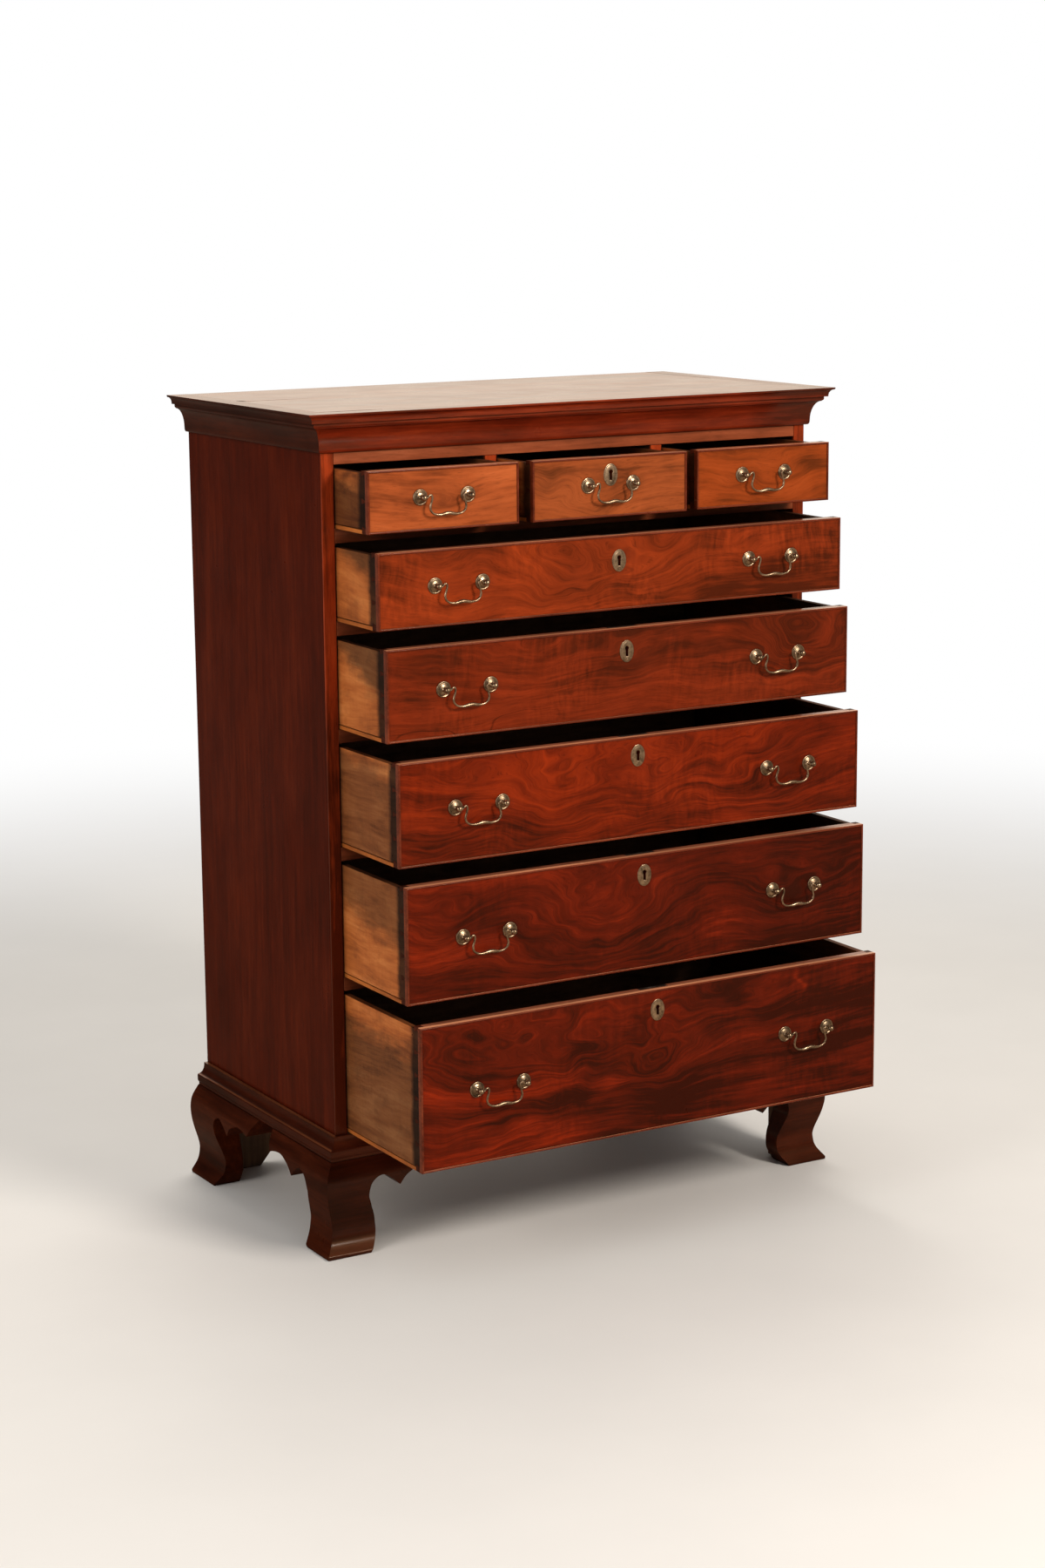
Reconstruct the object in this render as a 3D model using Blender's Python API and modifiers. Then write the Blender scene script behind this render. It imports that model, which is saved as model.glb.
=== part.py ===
"""Tall chest of drawers on ogee bracket feet: three small drawers over five long ones.

Metres, +Z up. X runs along the front from left to right and Y towards the back. Sizes are set out
from the front edge of the case at Y = 0, and the whole chest is then centred on its own footprint.
The drawers stand open by the distances given in the pulls below.
"""
import math

import bmesh
import bpy
from mathutils import Matrix, Vector

# Case
CASE_WIDTH = 0.965
CASE_DEPTH = 0.522
SIDE_THICKNESS = 0.022
TOP_THICKNESS = 0.020
BOTTOM_THICKNESS = 0.022
BACK_THICKNESS = 0.012
RAIL_HEIGHT = 0.024             # thickness of a dust board and of the rail on its front edge
TOP_RAIL_THICKNESS = 0.022
TOP_RAIL_REVEAL = 0.020         # what shows of the top rail below the cornice
UPPER_PANEL_THICKNESS = 0.012   # panel over the small drawers
UPPER_PANEL_RAISE = 0.001       # its underside above the lower edge of the top rail
DIVIDER_THICKNESS = 0.022
MIDDLE_OPENING = 0.3095         # width of the opening of the middle small drawer
MIDDLE_SHIFT = 0.00225          # its middle stands this far to the right of the case's
GROOVE_DEPTH = 0.006            # how far the boards are let into the sides
GROOVE_START = 0.012            # the grooves stop this far behind the front edge
BACK_RABBET = 0.010             # how far the back is let into the sides
BASE_RAIL_DEPTH = 0.060         # batten under the front of the bottom board

# Base moulding and cornice. Their outlines run from the bottom up in quarter ellipses: start, end, steps
# and whether the quarter leaves its start upright. Points are shares of the overhang and of the height.
FOOT_HEIGHT = 0.167
BASE_HEIGHT = 0.040
BASE_REVEAL = 0.002             # what shows of the bottom board above the base moulding
BASE_OVERHANG = 0.0208
BASE_FILLET = ((0.875, 0.0), (0.875, 0.125), 1, True)
BASE_BEAD = ((0.905, 0.15), (1.0, 0.275), 2, False)
BASE_BAND = ((1.0, 0.275), (1.0, 0.46), 1, True)
BASE_HOLLOW = ((0.955, 0.5), (0.337, 0.9), 5, False)
BASE_RIM = ((0.337, 0.9), (0.337, 1.0), 1, True)
CORNICE_HEIGHT = 0.066
CORNICE_OVERHANG = 0.0398
CORNICE_OVOLO = ((0.10, 0.0), (0.188, 0.09), 3, False)
CORNICE_COVE = ((0.19, 0.115), (0.57, 0.636), 6, True)
CORNICE_BEAD = ((0.575, 0.65), (0.64, 0.705), 3, False)
CORNICE_STEP = ((0.64, 0.752), (0.774, 0.758), 1, True)
CORNICE_CROWN = ((0.779, 0.788), (0.975, 0.945), 4, True)
CORNICE_NOSE = ((1.0, 0.968), (1.0, 1.0), 1, True)

# Feet. Outlines are in shares of the spread or the bracket's length, and of the foot's height.
FOOT_SPREAD = 0.038             # how far the toe stands out from the case
FOOT_OGEE = ((1.0, 0.033), (0.671, 0.141), (0.558, 0.24), (0.574, 0.341), (0.855, 0.563), (0.968, 0.731),
             (0.882, 0.874), (0.513, 1.0))
BRACKET_LEG = ((0.2126, 0.0), (0.29, 0.156), (0.292, 0.329), (0.244, 0.503), (0.215, 0.623), (0.244, 0.754),
               (0.338, 0.814), (0.425, 0.76), (0.5024, 0.6737))
BRACKET_LOBE = ((0.5024, 0.6737), (0.57, 0.7725), (0.7, 0.8353), (0.8213, 0.8263), (0.9034, 0.7994))
BRACKET_END = (0.942, 0.8743)   # where the end of a bracket turns up to its tip
SIDE_FOOT_GAP = 0.056           # between the tips of the front and the rear bracket on a side
BRACKET_INSET = 0.014           # inner face of a bracket, measured inwards from the case
REAR_LEG_EXTRA = 0.052          # the rear legs are wider than the front ones by this
BLOCK_SIZE = 0.027              # glue block in the corner of each foot
BLOCK_LIFT = 0.004
BACK_BRACKET_THICKNESS = 0.022
BACK_BRACKET_SETBACK = 0.012
BACK_BRACKET_LENGTH = 0.190
BACK_BRACKET_FOOT = 0.088
BACK_BRACKET_SLOPE_TOP = 0.120

# Drawers
SMALL_FRONT_HEIGHT = 0.102
LONG_FRONT_HEIGHTS = (0.1265, 0.153, 0.1735, 0.198, 0.2465)
SMALL_PULLS = (0.1145, 0.1155, 0.108)
LONG_PULLS = (0.145, 0.1685, 0.203, 0.223, 0.264)
FRONT_THICKNESS = 0.021
BEAD_WIDTH = 0.0035
BEAD_PROUD = 0.002
FRONT_LAP = 0.008               # thickness of front left over the end of a drawer side
DRAWER_SIDE_THICKNESS = 0.011
DRAWER_BACK_THICKNESS = 0.011
DRAWER_BOTTOM_THICKNESS = 0.008
DRAWER_BOTTOM_RAISE = 0.009     # underside of the bottom above the lower edge of the sides
DRAWER_BOTTOM_LET_IN = 0.004
SIDE_DROP = 0.004               # the sides stand this much lower than the front

# Handles
POST_SPACING = 0.089
PULL_INSET = 0.1495             # end of a long front to the middle of its handle
PULL_RAISE = 0.004              # handle pivots above the middle of the front
POST_REACH = 0.014              # front face to the bail's pivot
ROSETTE_RADIUS = 0.0135
ROSETTE_RIM = 0.0012
ROSETTE_RISE = 0.0030
ROSETTE_DOME = 0.55             # share of the rosette's radius that is raised
NECK_RADIUS = 0.0029
EYE_RADIUS = 0.0052
NUT_SIZE = 0.012
NUT_THICKNESS = 0.003
BAIL_DROP = 0.029
BAIL_LIFT = 0.0036              # height of the neck's hump above the pivot
BAIL_RADIUS = 0.0018
BAIL_SWELL = 0.0032
BAIL_NECK = 0.0098              # inner side of the eye to the upright of the bail
BAIL_SPREAD = 0.004             # each upright leans out by this on its way down
BAIL_HUMP = ((0.1, 0.0), (0.44, 0.9), (0.85, 1.0), (1.0, 0.0))     # shares of the neck and of the lift
BAIL_UPRIGHT = ((0.25, 0.17), (0.875, 0.38), (1.0, 0.58))          # shares of the spread and of the drop
BAIL_BOTTOM = ((0.91, 0.8, 0.0), (0.72, 0.97, 0.0), (0.46, 1.01, 0.5), (0.22, 0.96, 1.0), (0.0, 0.93, 1.0))
PIN_RADIUS = 0.0016
PIN_OVERRUN = 0.0004            # the pin passes the middle of the eye by this

# Locks
ESCUTCHEON_WIDTH = 0.028
ESCUTCHEON_HEIGHT = 0.038
ESCUTCHEON_THICKNESS = 0.0012
SMALL_KEYHOLE_DROP = 0.031      # top of the front to the middle of the keyhole
LONG_KEYHOLE_DROPS = (0.043, 0.040, 0.033, 0.035, 0.036)
KEYHOLE_RADIUS = 0.0027
KEYHOLE_SLOT = 0.0026
KEYHOLE_HEIGHT = 0.015
LOCK_WIDTH = 0.056
LOCK_THICKNESS = 0.0095
LOCK_BELOW_KEYHOLE = 0.016
LOCK_KEYHOLE_DEPTH = 0.0025
BOLT_WIDTH = 0.020
BOLT_THICKNESS = 0.003
BOLT_HEIGHT = 0.020
BOLT_THROW = 0.008

# Clearances
JOINT_GAP = 0.0003              # between pieces that touch
SIDE_CLEARANCE = 0.002          # drawer to the sides of its opening
TOP_CLEARANCE = 0.0025          # front to the rail above
SILL_CLEARANCE = 0.001          # front to the rail below
BACK_CLEARANCE = 0.0006         # closed drawer to the back of the case
BOLT_CLEARANCE = 0.0004
PIN_CLEARANCE = 0.0007
PIN_END_CLEARANCE = 0.0006
BOLT_TIP_CLEARANCE = 0.001

# Modelling helpers
CUT_MARGIN = 0.002              # how far a cutter passes the face it opens
EMBED = 0.0008                  # how far fittings are sunk into the wood before they are joined to it
TURN_STEPS = 10
EYE_STEPS = 4
OVAL_STEPS = 20
KEYHOLE_STEPS = 8
CURVE_STEPS = 2
WELD = 0.000002
SMOOTH_ANGLE = math.radians(40)
EMPTY_SIZE = 0.05

# Colour, roughness and metallic value of each finish
FINISHES = {"case_wood": ((0.16, 0.028, 0.010), 0.42, 0.0),
            "front_wood": ((0.24, 0.045, 0.014), 0.38, 0.0),
            "drawer_wood": ((0.42, 0.21, 0.075), 0.65, 0.0),
            "aged_brass": ((0.30, 0.23, 0.11), 0.42, 1.0),
            "lock_iron": ((0.20, 0.19, 0.18), 0.55, 1.0)}

HALF_WIDTH = CASE_WIDTH / 2
INNER_HALF = HALF_WIDTH - SIDE_THICKNESS
INNER_DEPTH = CASE_DEPTH - BACK_THICKNESS
BOARD_DEPTH = INNER_DEPTH - JOINT_GAP
DRAWER_DEPTH = INNER_DEPTH - BACK_CLEARANCE
BASE_TOP = FOOT_HEIGHT + BASE_HEIGHT
BOTTOM_TOP = BASE_TOP + BASE_REVEAL
BRACKET_LENGTH = (CASE_DEPTH - REAR_LEG_EXTRA - SIDE_FOOT_GAP) / 2
DIVIDER_OFFSET = (MIDDLE_OPENING + DIVIDER_THICKNESS) / 2
DIVIDER_CENTRES = (MIDDLE_SHIFT - DIVIDER_OFFSET, MIDDLE_SHIFT + DIVIDER_OFFSET)
EYE_HOLE_RADIUS = PIN_RADIUS + PIN_CLEARANCE


def clear_scene():
    for item in list(bpy.data.objects):
        bpy.data.objects.remove(item, do_unlink=True)


def new_collection(name):
    collection = bpy.data.collections.new(name)
    bpy.context.scene.collection.children.link(collection)
    return collection


def new_material(name, colour, roughness, metallic):
    material = bpy.data.materials.new(name)
    material.use_nodes = True
    shader = material.node_tree.nodes["Principled BSDF"]
    shader.inputs["Base Color"].default_value = (*colour, 1.0)
    shader.inputs["Roughness"].default_value = roughness
    shader.inputs["Metallic"].default_value = metallic
    material.diffuse_color = (*colour, 1.0)
    return material


# Outlines


def smooth_line(points, steps):
    """Points of a curve through the given ones, with this many steps between neighbours."""
    line = []
    for i in range(len(points) - 1):
        before = Vector(points[max(i - 1, 0)])
        start = Vector(points[i])
        end = Vector(points[i + 1])
        after = Vector(points[min(i + 2, len(points) - 1)])
        for k in range(steps):
            t = k / steps
            line.append(0.5 * (2 * start + (end - before) * t
                               + (2 * before - 5 * start + 4 * end - after) * t ** 2
                               + (3 * start - before - 3 * end + after) * t ** 3))
    line.append(Vector(points[-1]))
    return [tuple(point) for point in line]


def quarter(start, end, steps, upright):
    """Quarter of an ellipse between two points, which leaves its start upright or level."""
    points = []
    for k in range(steps + 1):
        angle = math.pi / 2 * k / steps
        early, late = math.sin(angle), 1 - math.cos(angle)
        across, along = (late, early) if upright else (early, late)
        points.append((start[0] + (end[0] - start[0]) * across,
                       start[1] + (end[1] - start[1]) * along))
    return points


def moulding_profile(quarters, overhang, low, height):
    """Closed outline of a moulding, as (offset, height) pairs; its back lies just off the case."""
    points = [(JOINT_GAP, low)]
    for run in quarters:
        for out, up in quarter(*run):
            point = (out * overhang, low + up * height)
            if math.dist(point, points[-1]) > WELD:
                points.append(point)
    return points + [(JOINT_GAP, low + height)]


# Mesh makers


def finish_mesh(work, name):
    bmesh.ops.remove_doubles(work, verts=work.verts, dist=WELD)
    bmesh.ops.recalc_face_normals(work, faces=work.faces)
    mesh = bpy.data.meshes.new(name)
    work.to_mesh(mesh)
    work.free()
    return mesh


def box_mesh(name, low, high):
    work = bmesh.new()
    bmesh.ops.create_cube(work, size=1.0)
    for corner in work.verts:
        corner.co = [a if c < 0 else b for c, a, b in zip(corner.co, low, high)]
    return finish_mesh(work, name)


def prism_mesh(name, outline, low, high, axis):
    """Flat outline pushed through from low to high along an axis.

    The outline's pairs are (X, Y) for axis Z, (X, Z) for axis Y and (Y, Z) for axis X.
    """
    curve = bpy.data.curves.new(name, "CURVE")
    curve.dimensions = "2D"
    curve.fill_mode = "BOTH"
    curve.extrude = (high - low) / 2
    spline = curve.splines.new("POLY")
    spline.points.add(len(outline) - 1)
    for point, place in zip(spline.points, outline):
        point.co = (place[0], place[1], 0.0, 1.0)
    spline.use_cyclic_u = True
    mesh = curve_mesh(curve, name)
    turn = {"Z": Matrix.Identity(4),
            "Y": Matrix(((1, 0, 0, 0), (0, 0, 1, 0), (0, 1, 0, 0), (0, 0, 0, 1))),
            "X": Matrix(((0, 0, 1, 0), (1, 0, 0, 0), (0, 1, 0, 0), (0, 0, 0, 1)))}[axis]
    work = bmesh.new()
    work.from_mesh(mesh)
    bpy.data.meshes.remove(mesh)
    for corner in work.verts:
        corner.co.z = low if corner.co.z < 0 else high
    bmesh.ops.transform(work, matrix=turn, verts=work.verts)
    return finish_mesh(work, name)


def curve_mesh(curve, name):
    """Welded mesh of a curve with its bevel and caps; the curve is used up."""
    holder = bpy.data.objects.new(name, curve)
    bpy.context.scene.collection.objects.link(holder)
    bpy.context.view_layer.update()
    mesh = bpy.data.meshes.new_from_object(holder.evaluated_get(bpy.context.evaluated_depsgraph_get()))
    bpy.data.objects.remove(holder, do_unlink=True)
    bpy.data.curves.remove(curve)
    work = bmesh.new()
    work.from_mesh(mesh)
    bpy.data.meshes.remove(mesh)
    return finish_mesh(work, name)


def turned_mesh(name, profile):
    """Profile of (radius, reach) pairs, from the tip to the root, turned about the Y axis.

    Reach is counted forwards, towards -Y.
    """
    line = bpy.data.meshes.new(name)
    corners = [(radius, 0.0, reach) for radius, reach in profile]
    line.from_pydata(corners, [(i, i + 1) for i in range(len(corners) - 1)], [])
    holder = bpy.data.objects.new(name, line)
    bpy.context.scene.collection.objects.link(holder)
    screw = holder.modifiers.new("Turn", "SCREW")
    screw.steps = TURN_STEPS
    screw.render_steps = TURN_STEPS
    screw.use_merge_vertices = True
    screw.merge_threshold = WELD
    bpy.context.view_layer.update()
    mesh = bpy.data.meshes.new_from_object(holder.evaluated_get(bpy.context.evaluated_depsgraph_get()))
    bpy.data.objects.remove(holder, do_unlink=True)
    bpy.data.meshes.remove(line)
    work = bmesh.new()
    work.from_mesh(mesh)
    bpy.data.meshes.remove(mesh)
    bmesh.ops.rotate(work, matrix=Matrix.Rotation(math.pi / 2, 3, "X"), verts=work.verts)
    return finish_mesh(work, name)


def cylinder_mesh(name, radius, low, high):
    """Cylinder along X."""
    work = bmesh.new()
    bmesh.ops.create_cone(work, cap_ends=True, segments=TURN_STEPS, radius1=radius, radius2=radius,
                          depth=high - low)
    bmesh.ops.rotate(work, matrix=Matrix.Rotation(math.pi / 2, 3, "Y"), verts=work.verts)
    bmesh.ops.translate(work, vec=((low + high) / 2, 0, 0), verts=work.verts)
    return finish_mesh(work, name)


def swept_mesh(name, profile, stations):
    """A closed profile carried through stations, each of which places its (offset, height) points."""
    work = bmesh.new()
    rings = [[work.verts.new(station(o, z)) for o, z in profile] for station in stations]
    count = len(profile)
    for ring, following in zip(rings, rings[1:]):
        for i in range(count):
            work.faces.new((ring[i], ring[(i + 1) % count], following[(i + 1) % count], following[i]))
    work.faces.new(rings[0])
    work.faces.new(rings[-1])
    return finish_mesh(work, name)


def joined_mesh(name, placed):
    """One mesh from (mesh, place) pairs; the meshes are used up."""
    work = bmesh.new()
    for mesh, place in placed:
        known = set(work.verts)
        work.from_mesh(mesh)
        bmesh.ops.translate(work, vec=place, verts=[v for v in work.verts if v not in known])
    for mesh in {mesh for mesh, place in placed}:
        bpy.data.meshes.remove(mesh)
    return finish_mesh(work, name)


def mirrored_mesh(name, mesh):
    work = bmesh.new()
    work.from_mesh(mesh)
    bmesh.ops.scale(work, vec=(-1, 1, 1), verts=work.verts)
    bmesh.ops.reverse_faces(work, faces=work.faces)
    return finish_mesh(work, name)


def rounded(mesh):
    """The mesh, shaded smooth but for its sharp edges."""
    mesh.shade_smooth()
    mesh.set_sharp_from_angle(angle=SMOOTH_ANGLE)
    return mesh


# Objects


def add_piece(shop, name, mesh, material, parent, place=(0, 0, 0)):
    piece = bpy.data.objects.new(name, mesh)
    shop["parts"].objects.link(piece)
    mesh.materials.clear()
    mesh.materials.append(shop[material])
    piece.parent = parent
    piece.location = place
    return piece


def add_empty(shop, name, parent, place):
    holder = bpy.data.objects.new(name, None)
    holder.empty_display_size = EMPTY_SIZE
    shop["parts"].objects.link(holder)
    holder.parent = parent
    holder.location = place
    return holder


def use_tool(shop, piece, name, mesh, operation):
    """Cuts a piece with a tool mesh, or joins the tool to it; the tool moves with the piece."""
    tool = bpy.data.objects.new(name, mesh)
    shop["tools"].objects.link(tool)
    tool.parent = piece
    tool.hide_render = True
    tool.display_type = "WIRE"
    modifier = piece.modifiers.new(name, "BOOLEAN")
    modifier.operation = operation
    modifier.object = tool
    modifier.solver = "EXACT"


# Levels and the plan of the drawers


def drawer_plan():
    """Each drawer's opening, front and fittings, from the bottom row up, and the level over the top row."""
    plan = []
    level = BOTTOM_TOP
    rows = list(enumerate(zip(LONG_FRONT_HEIGHTS, LONG_PULLS, LONG_KEYHOLE_DROPS), 1))
    half = INNER_HALF - SIDE_CLEARANCE
    grip = half - PULL_INSET
    for number, (height, pull, drop) in reversed(rows):
        plan.append({"name": f"long_drawer_{number}", "centre": 0.0, "half": half, "sill": level,
                     "height": height, "pull": pull, "drop": drop, "grips": {"left": -grip, "right": grip}})
        level += SILL_CLEARANCE + height + TOP_CLEARANCE + RAIL_HEIGHT
    faces = [-INNER_HALF]
    for centre in DIVIDER_CENTRES:
        faces += [centre - DIVIDER_THICKNESS / 2, centre + DIVIDER_THICKNESS / 2]
    faces.append(INNER_HALF)
    for i, side in enumerate(("left", "middle", "right")):
        left, right = faces[2 * i], faces[2 * i + 1]
        drop = SMALL_KEYHOLE_DROP if side == "middle" else None
        plan.append({"name": f"small_drawer_{side}", "centre": (left + right) / 2,
                     "half": (right - left) / 2 - SIDE_CLEARANCE, "sill": level,
                     "height": SMALL_FRONT_HEIGHT, "pull": SMALL_PULLS[i], "drop": drop, "grips": {"": 0.0}})
    return plan, level + SILL_CLEARANCE + SMALL_FRONT_HEIGHT + TOP_CLEARANCE


# Case


def bolt_pocket_boxes(drawers, level):
    """Pockets in the underside at this level for the lock bolts of the drawers below it."""
    half_x = BOLT_WIDTH / 2 + BOLT_CLEARANCE
    half_y = BOLT_THICKNESS / 2 + BOLT_CLEARANCE
    middle = FRONT_THICKNESS - LOCK_THICKNESS / 2
    depth = BOLT_THROW - TOP_CLEARANCE + BOLT_TIP_CLEARANCE
    return [((d["centre"] - half_x, middle - half_y, level - CUT_MARGIN),
             (d["centre"] + half_x, middle + half_y, level + depth)) for d in drawers if d["drop"]]


def add_board(shop, chest, name, material, low, high, pockets):
    """Board from side to side, let into the grooves and notched where they stop behind the front edge."""
    near, far = INNER_HALF - JOINT_GAP, INNER_HALF + GROOVE_DEPTH - JOINT_GAP
    body = box_mesh(name, (-far, 0, low), (far, BOARD_DEPTH, high))
    piece = add_piece(shop, name, body, material, chest)
    cuts = [box_mesh("notch", (start, -CUT_MARGIN, low - CUT_MARGIN),
                     (end, GROOVE_START + JOINT_GAP, high + CUT_MARGIN))
            for start, end in ((-far - CUT_MARGIN, -near), (near, far + CUT_MARGIN))]
    cuts += [box_mesh("pocket", *corners) for corners in pockets]
    cutter = joined_mesh(name + "_cuts", [(mesh, (0, 0, 0)) for mesh in cuts])
    use_tool(shop, piece, name + "_cuts", cutter, "DIFFERENCE")
    return piece


def make_sides(shop, chest, grooves, top):
    """The two sides, grooved for the boards and rabbeted for the back."""
    bottom = FOOT_HEIGHT
    mesh = box_mesh("side_left", (-HALF_WIDTH, 0, bottom), (-INNER_HALF, CASE_DEPTH, top - JOINT_GAP))
    deep = -INNER_HALF - GROOVE_DEPTH
    cuts = [(box_mesh("groove", (deep, GROOVE_START, low - JOINT_GAP),
                      (-INNER_HALF + CUT_MARGIN, INNER_DEPTH + CUT_MARGIN, high + JOINT_GAP)), (0, 0, 0))
            for low, high in grooves]
    cutter = joined_mesh("side_left_grooves", cuts)
    rabbet = box_mesh("side_left_rabbet",
                      (-INNER_HALF - BACK_RABBET, INNER_DEPTH - JOINT_GAP, bottom - CUT_MARGIN),
                      (-INNER_HALF + CUT_MARGIN, CASE_DEPTH + CUT_MARGIN, top + CUT_MARGIN))
    left = mesh, cutter, rabbet
    right = [mirrored_mesh(item.name.replace("left", "right"), item) for item in left]
    for name, (body, grooving, rabbeting) in (("side_left", left), ("side_right", right)):
        piece = add_piece(shop, name, body, "case_wood", chest)
        use_tool(shop, piece, name + "_grooves", grooving, "DIFFERENCE")
        use_tool(shop, piece, name + "_rabbet", rabbeting, "DIFFERENCE")


def make_case(shop, chest, plan, opening_top):
    """Sides, top, bottom, back, dust boards with their rails, top rail and dividers."""
    cornice_bottom = opening_top + TOP_RAIL_REVEAL
    total_height = cornice_bottom + CORNICE_HEIGHT
    top_low = total_height - TOP_THICKNESS
    rows = sorted({d["sill"] for d in plan})
    bottom_low = BOTTOM_TOP - BOTTOM_THICKNESS
    grooves = [(bottom_low, BOTTOM_TOP)]
    grooves += [(sill - RAIL_HEIGHT, sill) for sill in rows[1:]]
    panel_low = opening_top + UPPER_PANEL_RAISE
    grooves.append((panel_low, panel_low + UPPER_PANEL_THICKNESS))
    make_sides(shop, chest, grooves, top_low)

    top = box_mesh("top_board", (-HALF_WIDTH, 0, top_low), (HALF_WIDTH, CASE_DEPTH, total_height))
    add_piece(shop, "top_board", top, "case_wood", chest)

    reach = INNER_HALF + BACK_RABBET - JOINT_GAP
    back = box_mesh("back_board", (-reach, INNER_DEPTH, bottom_low),
                    (reach, CASE_DEPTH, top_low - JOINT_GAP))
    add_piece(shop, "back_board", back, "drawer_wood", chest)

    piece = add_board(shop, chest, "bottom_board", "drawer_wood", bottom_low, BOTTOM_TOP, [])
    rail = box_mesh("base_rail", (-INNER_HALF + 2 * JOINT_GAP, JOINT_GAP, FOOT_HEIGHT),
                    (INNER_HALF - 2 * JOINT_GAP, BASE_RAIL_DEPTH, bottom_low + EMBED))
    use_tool(shop, piece, "base_rail", rail, "UNION")

    for number, sill in enumerate(reversed(rows[1:]), 1):
        low = sill - RAIL_HEIGHT
        below = [d for d in plan if d["sill"] == rows[len(rows) - 1 - number]]
        pockets = bolt_pocket_boxes(below, low)
        add_board(shop, chest, f"dust_board_{number}", "case_wood", low, sill, pockets)

    rail = box_mesh("top_rail", (-INNER_HALF + JOINT_GAP, 0, opening_top),
                    (INNER_HALF - JOINT_GAP, TOP_RAIL_THICKNESS, top_low - JOINT_GAP))
    piece = add_piece(shop, "top_rail", rail, "case_wood", chest)
    reach = INNER_HALF + GROOVE_DEPTH - JOINT_GAP
    panel = box_mesh("upper_panel", (-reach, TOP_RAIL_THICKNESS - EMBED, panel_low),
                     (reach, BOARD_DEPTH, panel_low + UPPER_PANEL_THICKNESS))
    use_tool(shop, piece, "upper_panel", panel, "UNION")
    above = [d for d in plan if d["sill"] == rows[-1]]
    pockets = [box_mesh("pocket", *corners) for corners in bolt_pocket_boxes(above, opening_top)]
    cutter = joined_mesh("top_rail_pockets", [(mesh, (0, 0, 0)) for mesh in pockets])
    use_tool(shop, piece, "top_rail_pockets", cutter, "DIFFERENCE")

    for centre, side in zip(DIVIDER_CENTRES, ("left", "right")):
        name = f"divider_{side}"
        half = DIVIDER_THICKNESS / 2
        mesh = box_mesh(name, (centre - half, 0, rows[-1] + JOINT_GAP),
                        (centre + half, BOARD_DEPTH, opening_top - JOINT_GAP))
        add_piece(shop, name, mesh, "case_wood", chest)
    return cornice_bottom


# Mouldings and feet


def make_moulding(shop, chest, name, profile):
    """Moulding round the left side, the front and the right side of the case."""
    stations = [lambda o, z: (-HALF_WIDTH - o, CASE_DEPTH, z), lambda o, z: (-HALF_WIDTH - o, -o, z),
                lambda o, z: (HALF_WIDTH + o, -o, z), lambda o, z: (HALF_WIDTH + o, CASE_DEPTH, z)]
    add_piece(shop, name, rounded(swept_mesh(name, profile, stations)), "case_wood", chest)


def make_mouldings(shop, chest, cornice_bottom):
    """Cornice, of ovolo, large cove, bead, step and crown, and base moulding, of fillet, bead and hollow."""
    crown = (CORNICE_OVOLO, CORNICE_COVE, CORNICE_BEAD, CORNICE_STEP, CORNICE_CROWN, CORNICE_NOSE)
    cornice = moulding_profile(crown, CORNICE_OVERHANG, cornice_bottom, CORNICE_HEIGHT)
    make_moulding(shop, chest, "cornice", cornice)
    lower = (BASE_FILLET, BASE_BEAD, BASE_BAND, BASE_HOLLOW, BASE_RIM)
    base = moulding_profile(lower, BASE_OVERHANG, FOOT_HEIGHT, BASE_HEIGHT)
    make_moulding(shop, chest, "base_moulding", base)


def foot_profile():
    """Ogee face of a bracket from the floor up, closed by its flat inner face."""
    height = FOOT_HEIGHT - JOINT_GAP
    face = smooth_line([(FOOT_SPREAD * out, height * up) for out, up in FOOT_OGEE], CURVE_STEPS)
    return [(FOOT_SPREAD, 0.0)] + face + [(-BRACKET_INSET, height), (-BRACKET_INSET, 0.0)]


def scroll_outline():
    """Space under a bracket: leg edge, arch, spur, shallow arch and the tip at the end.

    Pairs are (distance from the corner, height).
    """
    def scaled(points):
        return [(along * BRACKET_LENGTH, up * FOOT_HEIGHT) for along, up in points]

    leg = smooth_line(scaled(BRACKET_LEG), CURVE_STEPS)
    lobe = smooth_line(scaled(BRACKET_LOBE), CURVE_STEPS)
    end, top, floor = BRACKET_LENGTH + CUT_MARGIN, FOOT_HEIGHT + CUT_MARGIN, -CUT_MARGIN
    return [(leg[0][0], floor)] + leg + lobe[1:] + scaled([BRACKET_END]) + [(end, top), (end, floor)]


def front_foot_meshes():
    """Left front foot: brackets along the front and the side, mitred, with a block behind the corner."""
    profile = foot_profile()
    stations = [lambda o, z: (-HALF_WIDTH + BRACKET_LENGTH, -o, z), lambda o, z: (-HALF_WIDTH - o, -o, z),
                lambda o, z: (-HALF_WIDTH - o, BRACKET_LENGTH, z)]
    body = rounded(swept_mesh("foot_front_left", profile, stations))
    scroll = scroll_outline()
    under_front = [(-HALF_WIDTH + u, z) for u, z in scroll]
    out, inwards = FOOT_SPREAD + CUT_MARGIN, BRACKET_INSET + CUT_MARGIN
    cuts = [(prism_mesh("scroll", under_front, -out, inwards, "Y"), (0, 0, 0)),
            (prism_mesh("scroll", scroll, -HALF_WIDTH - out, -HALF_WIDTH + inwards, "X"), (0, 0, 0))]
    near = BRACKET_INSET - EMBED
    far = BRACKET_INSET + BLOCK_SIZE
    block = box_mesh("foot_block", (-HALF_WIDTH + near, near, BLOCK_LIFT),
                     (-HALF_WIDTH + far, far, FOOT_HEIGHT - 2 * JOINT_GAP))
    return body, joined_mesh("scrolls", cuts), block


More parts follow.
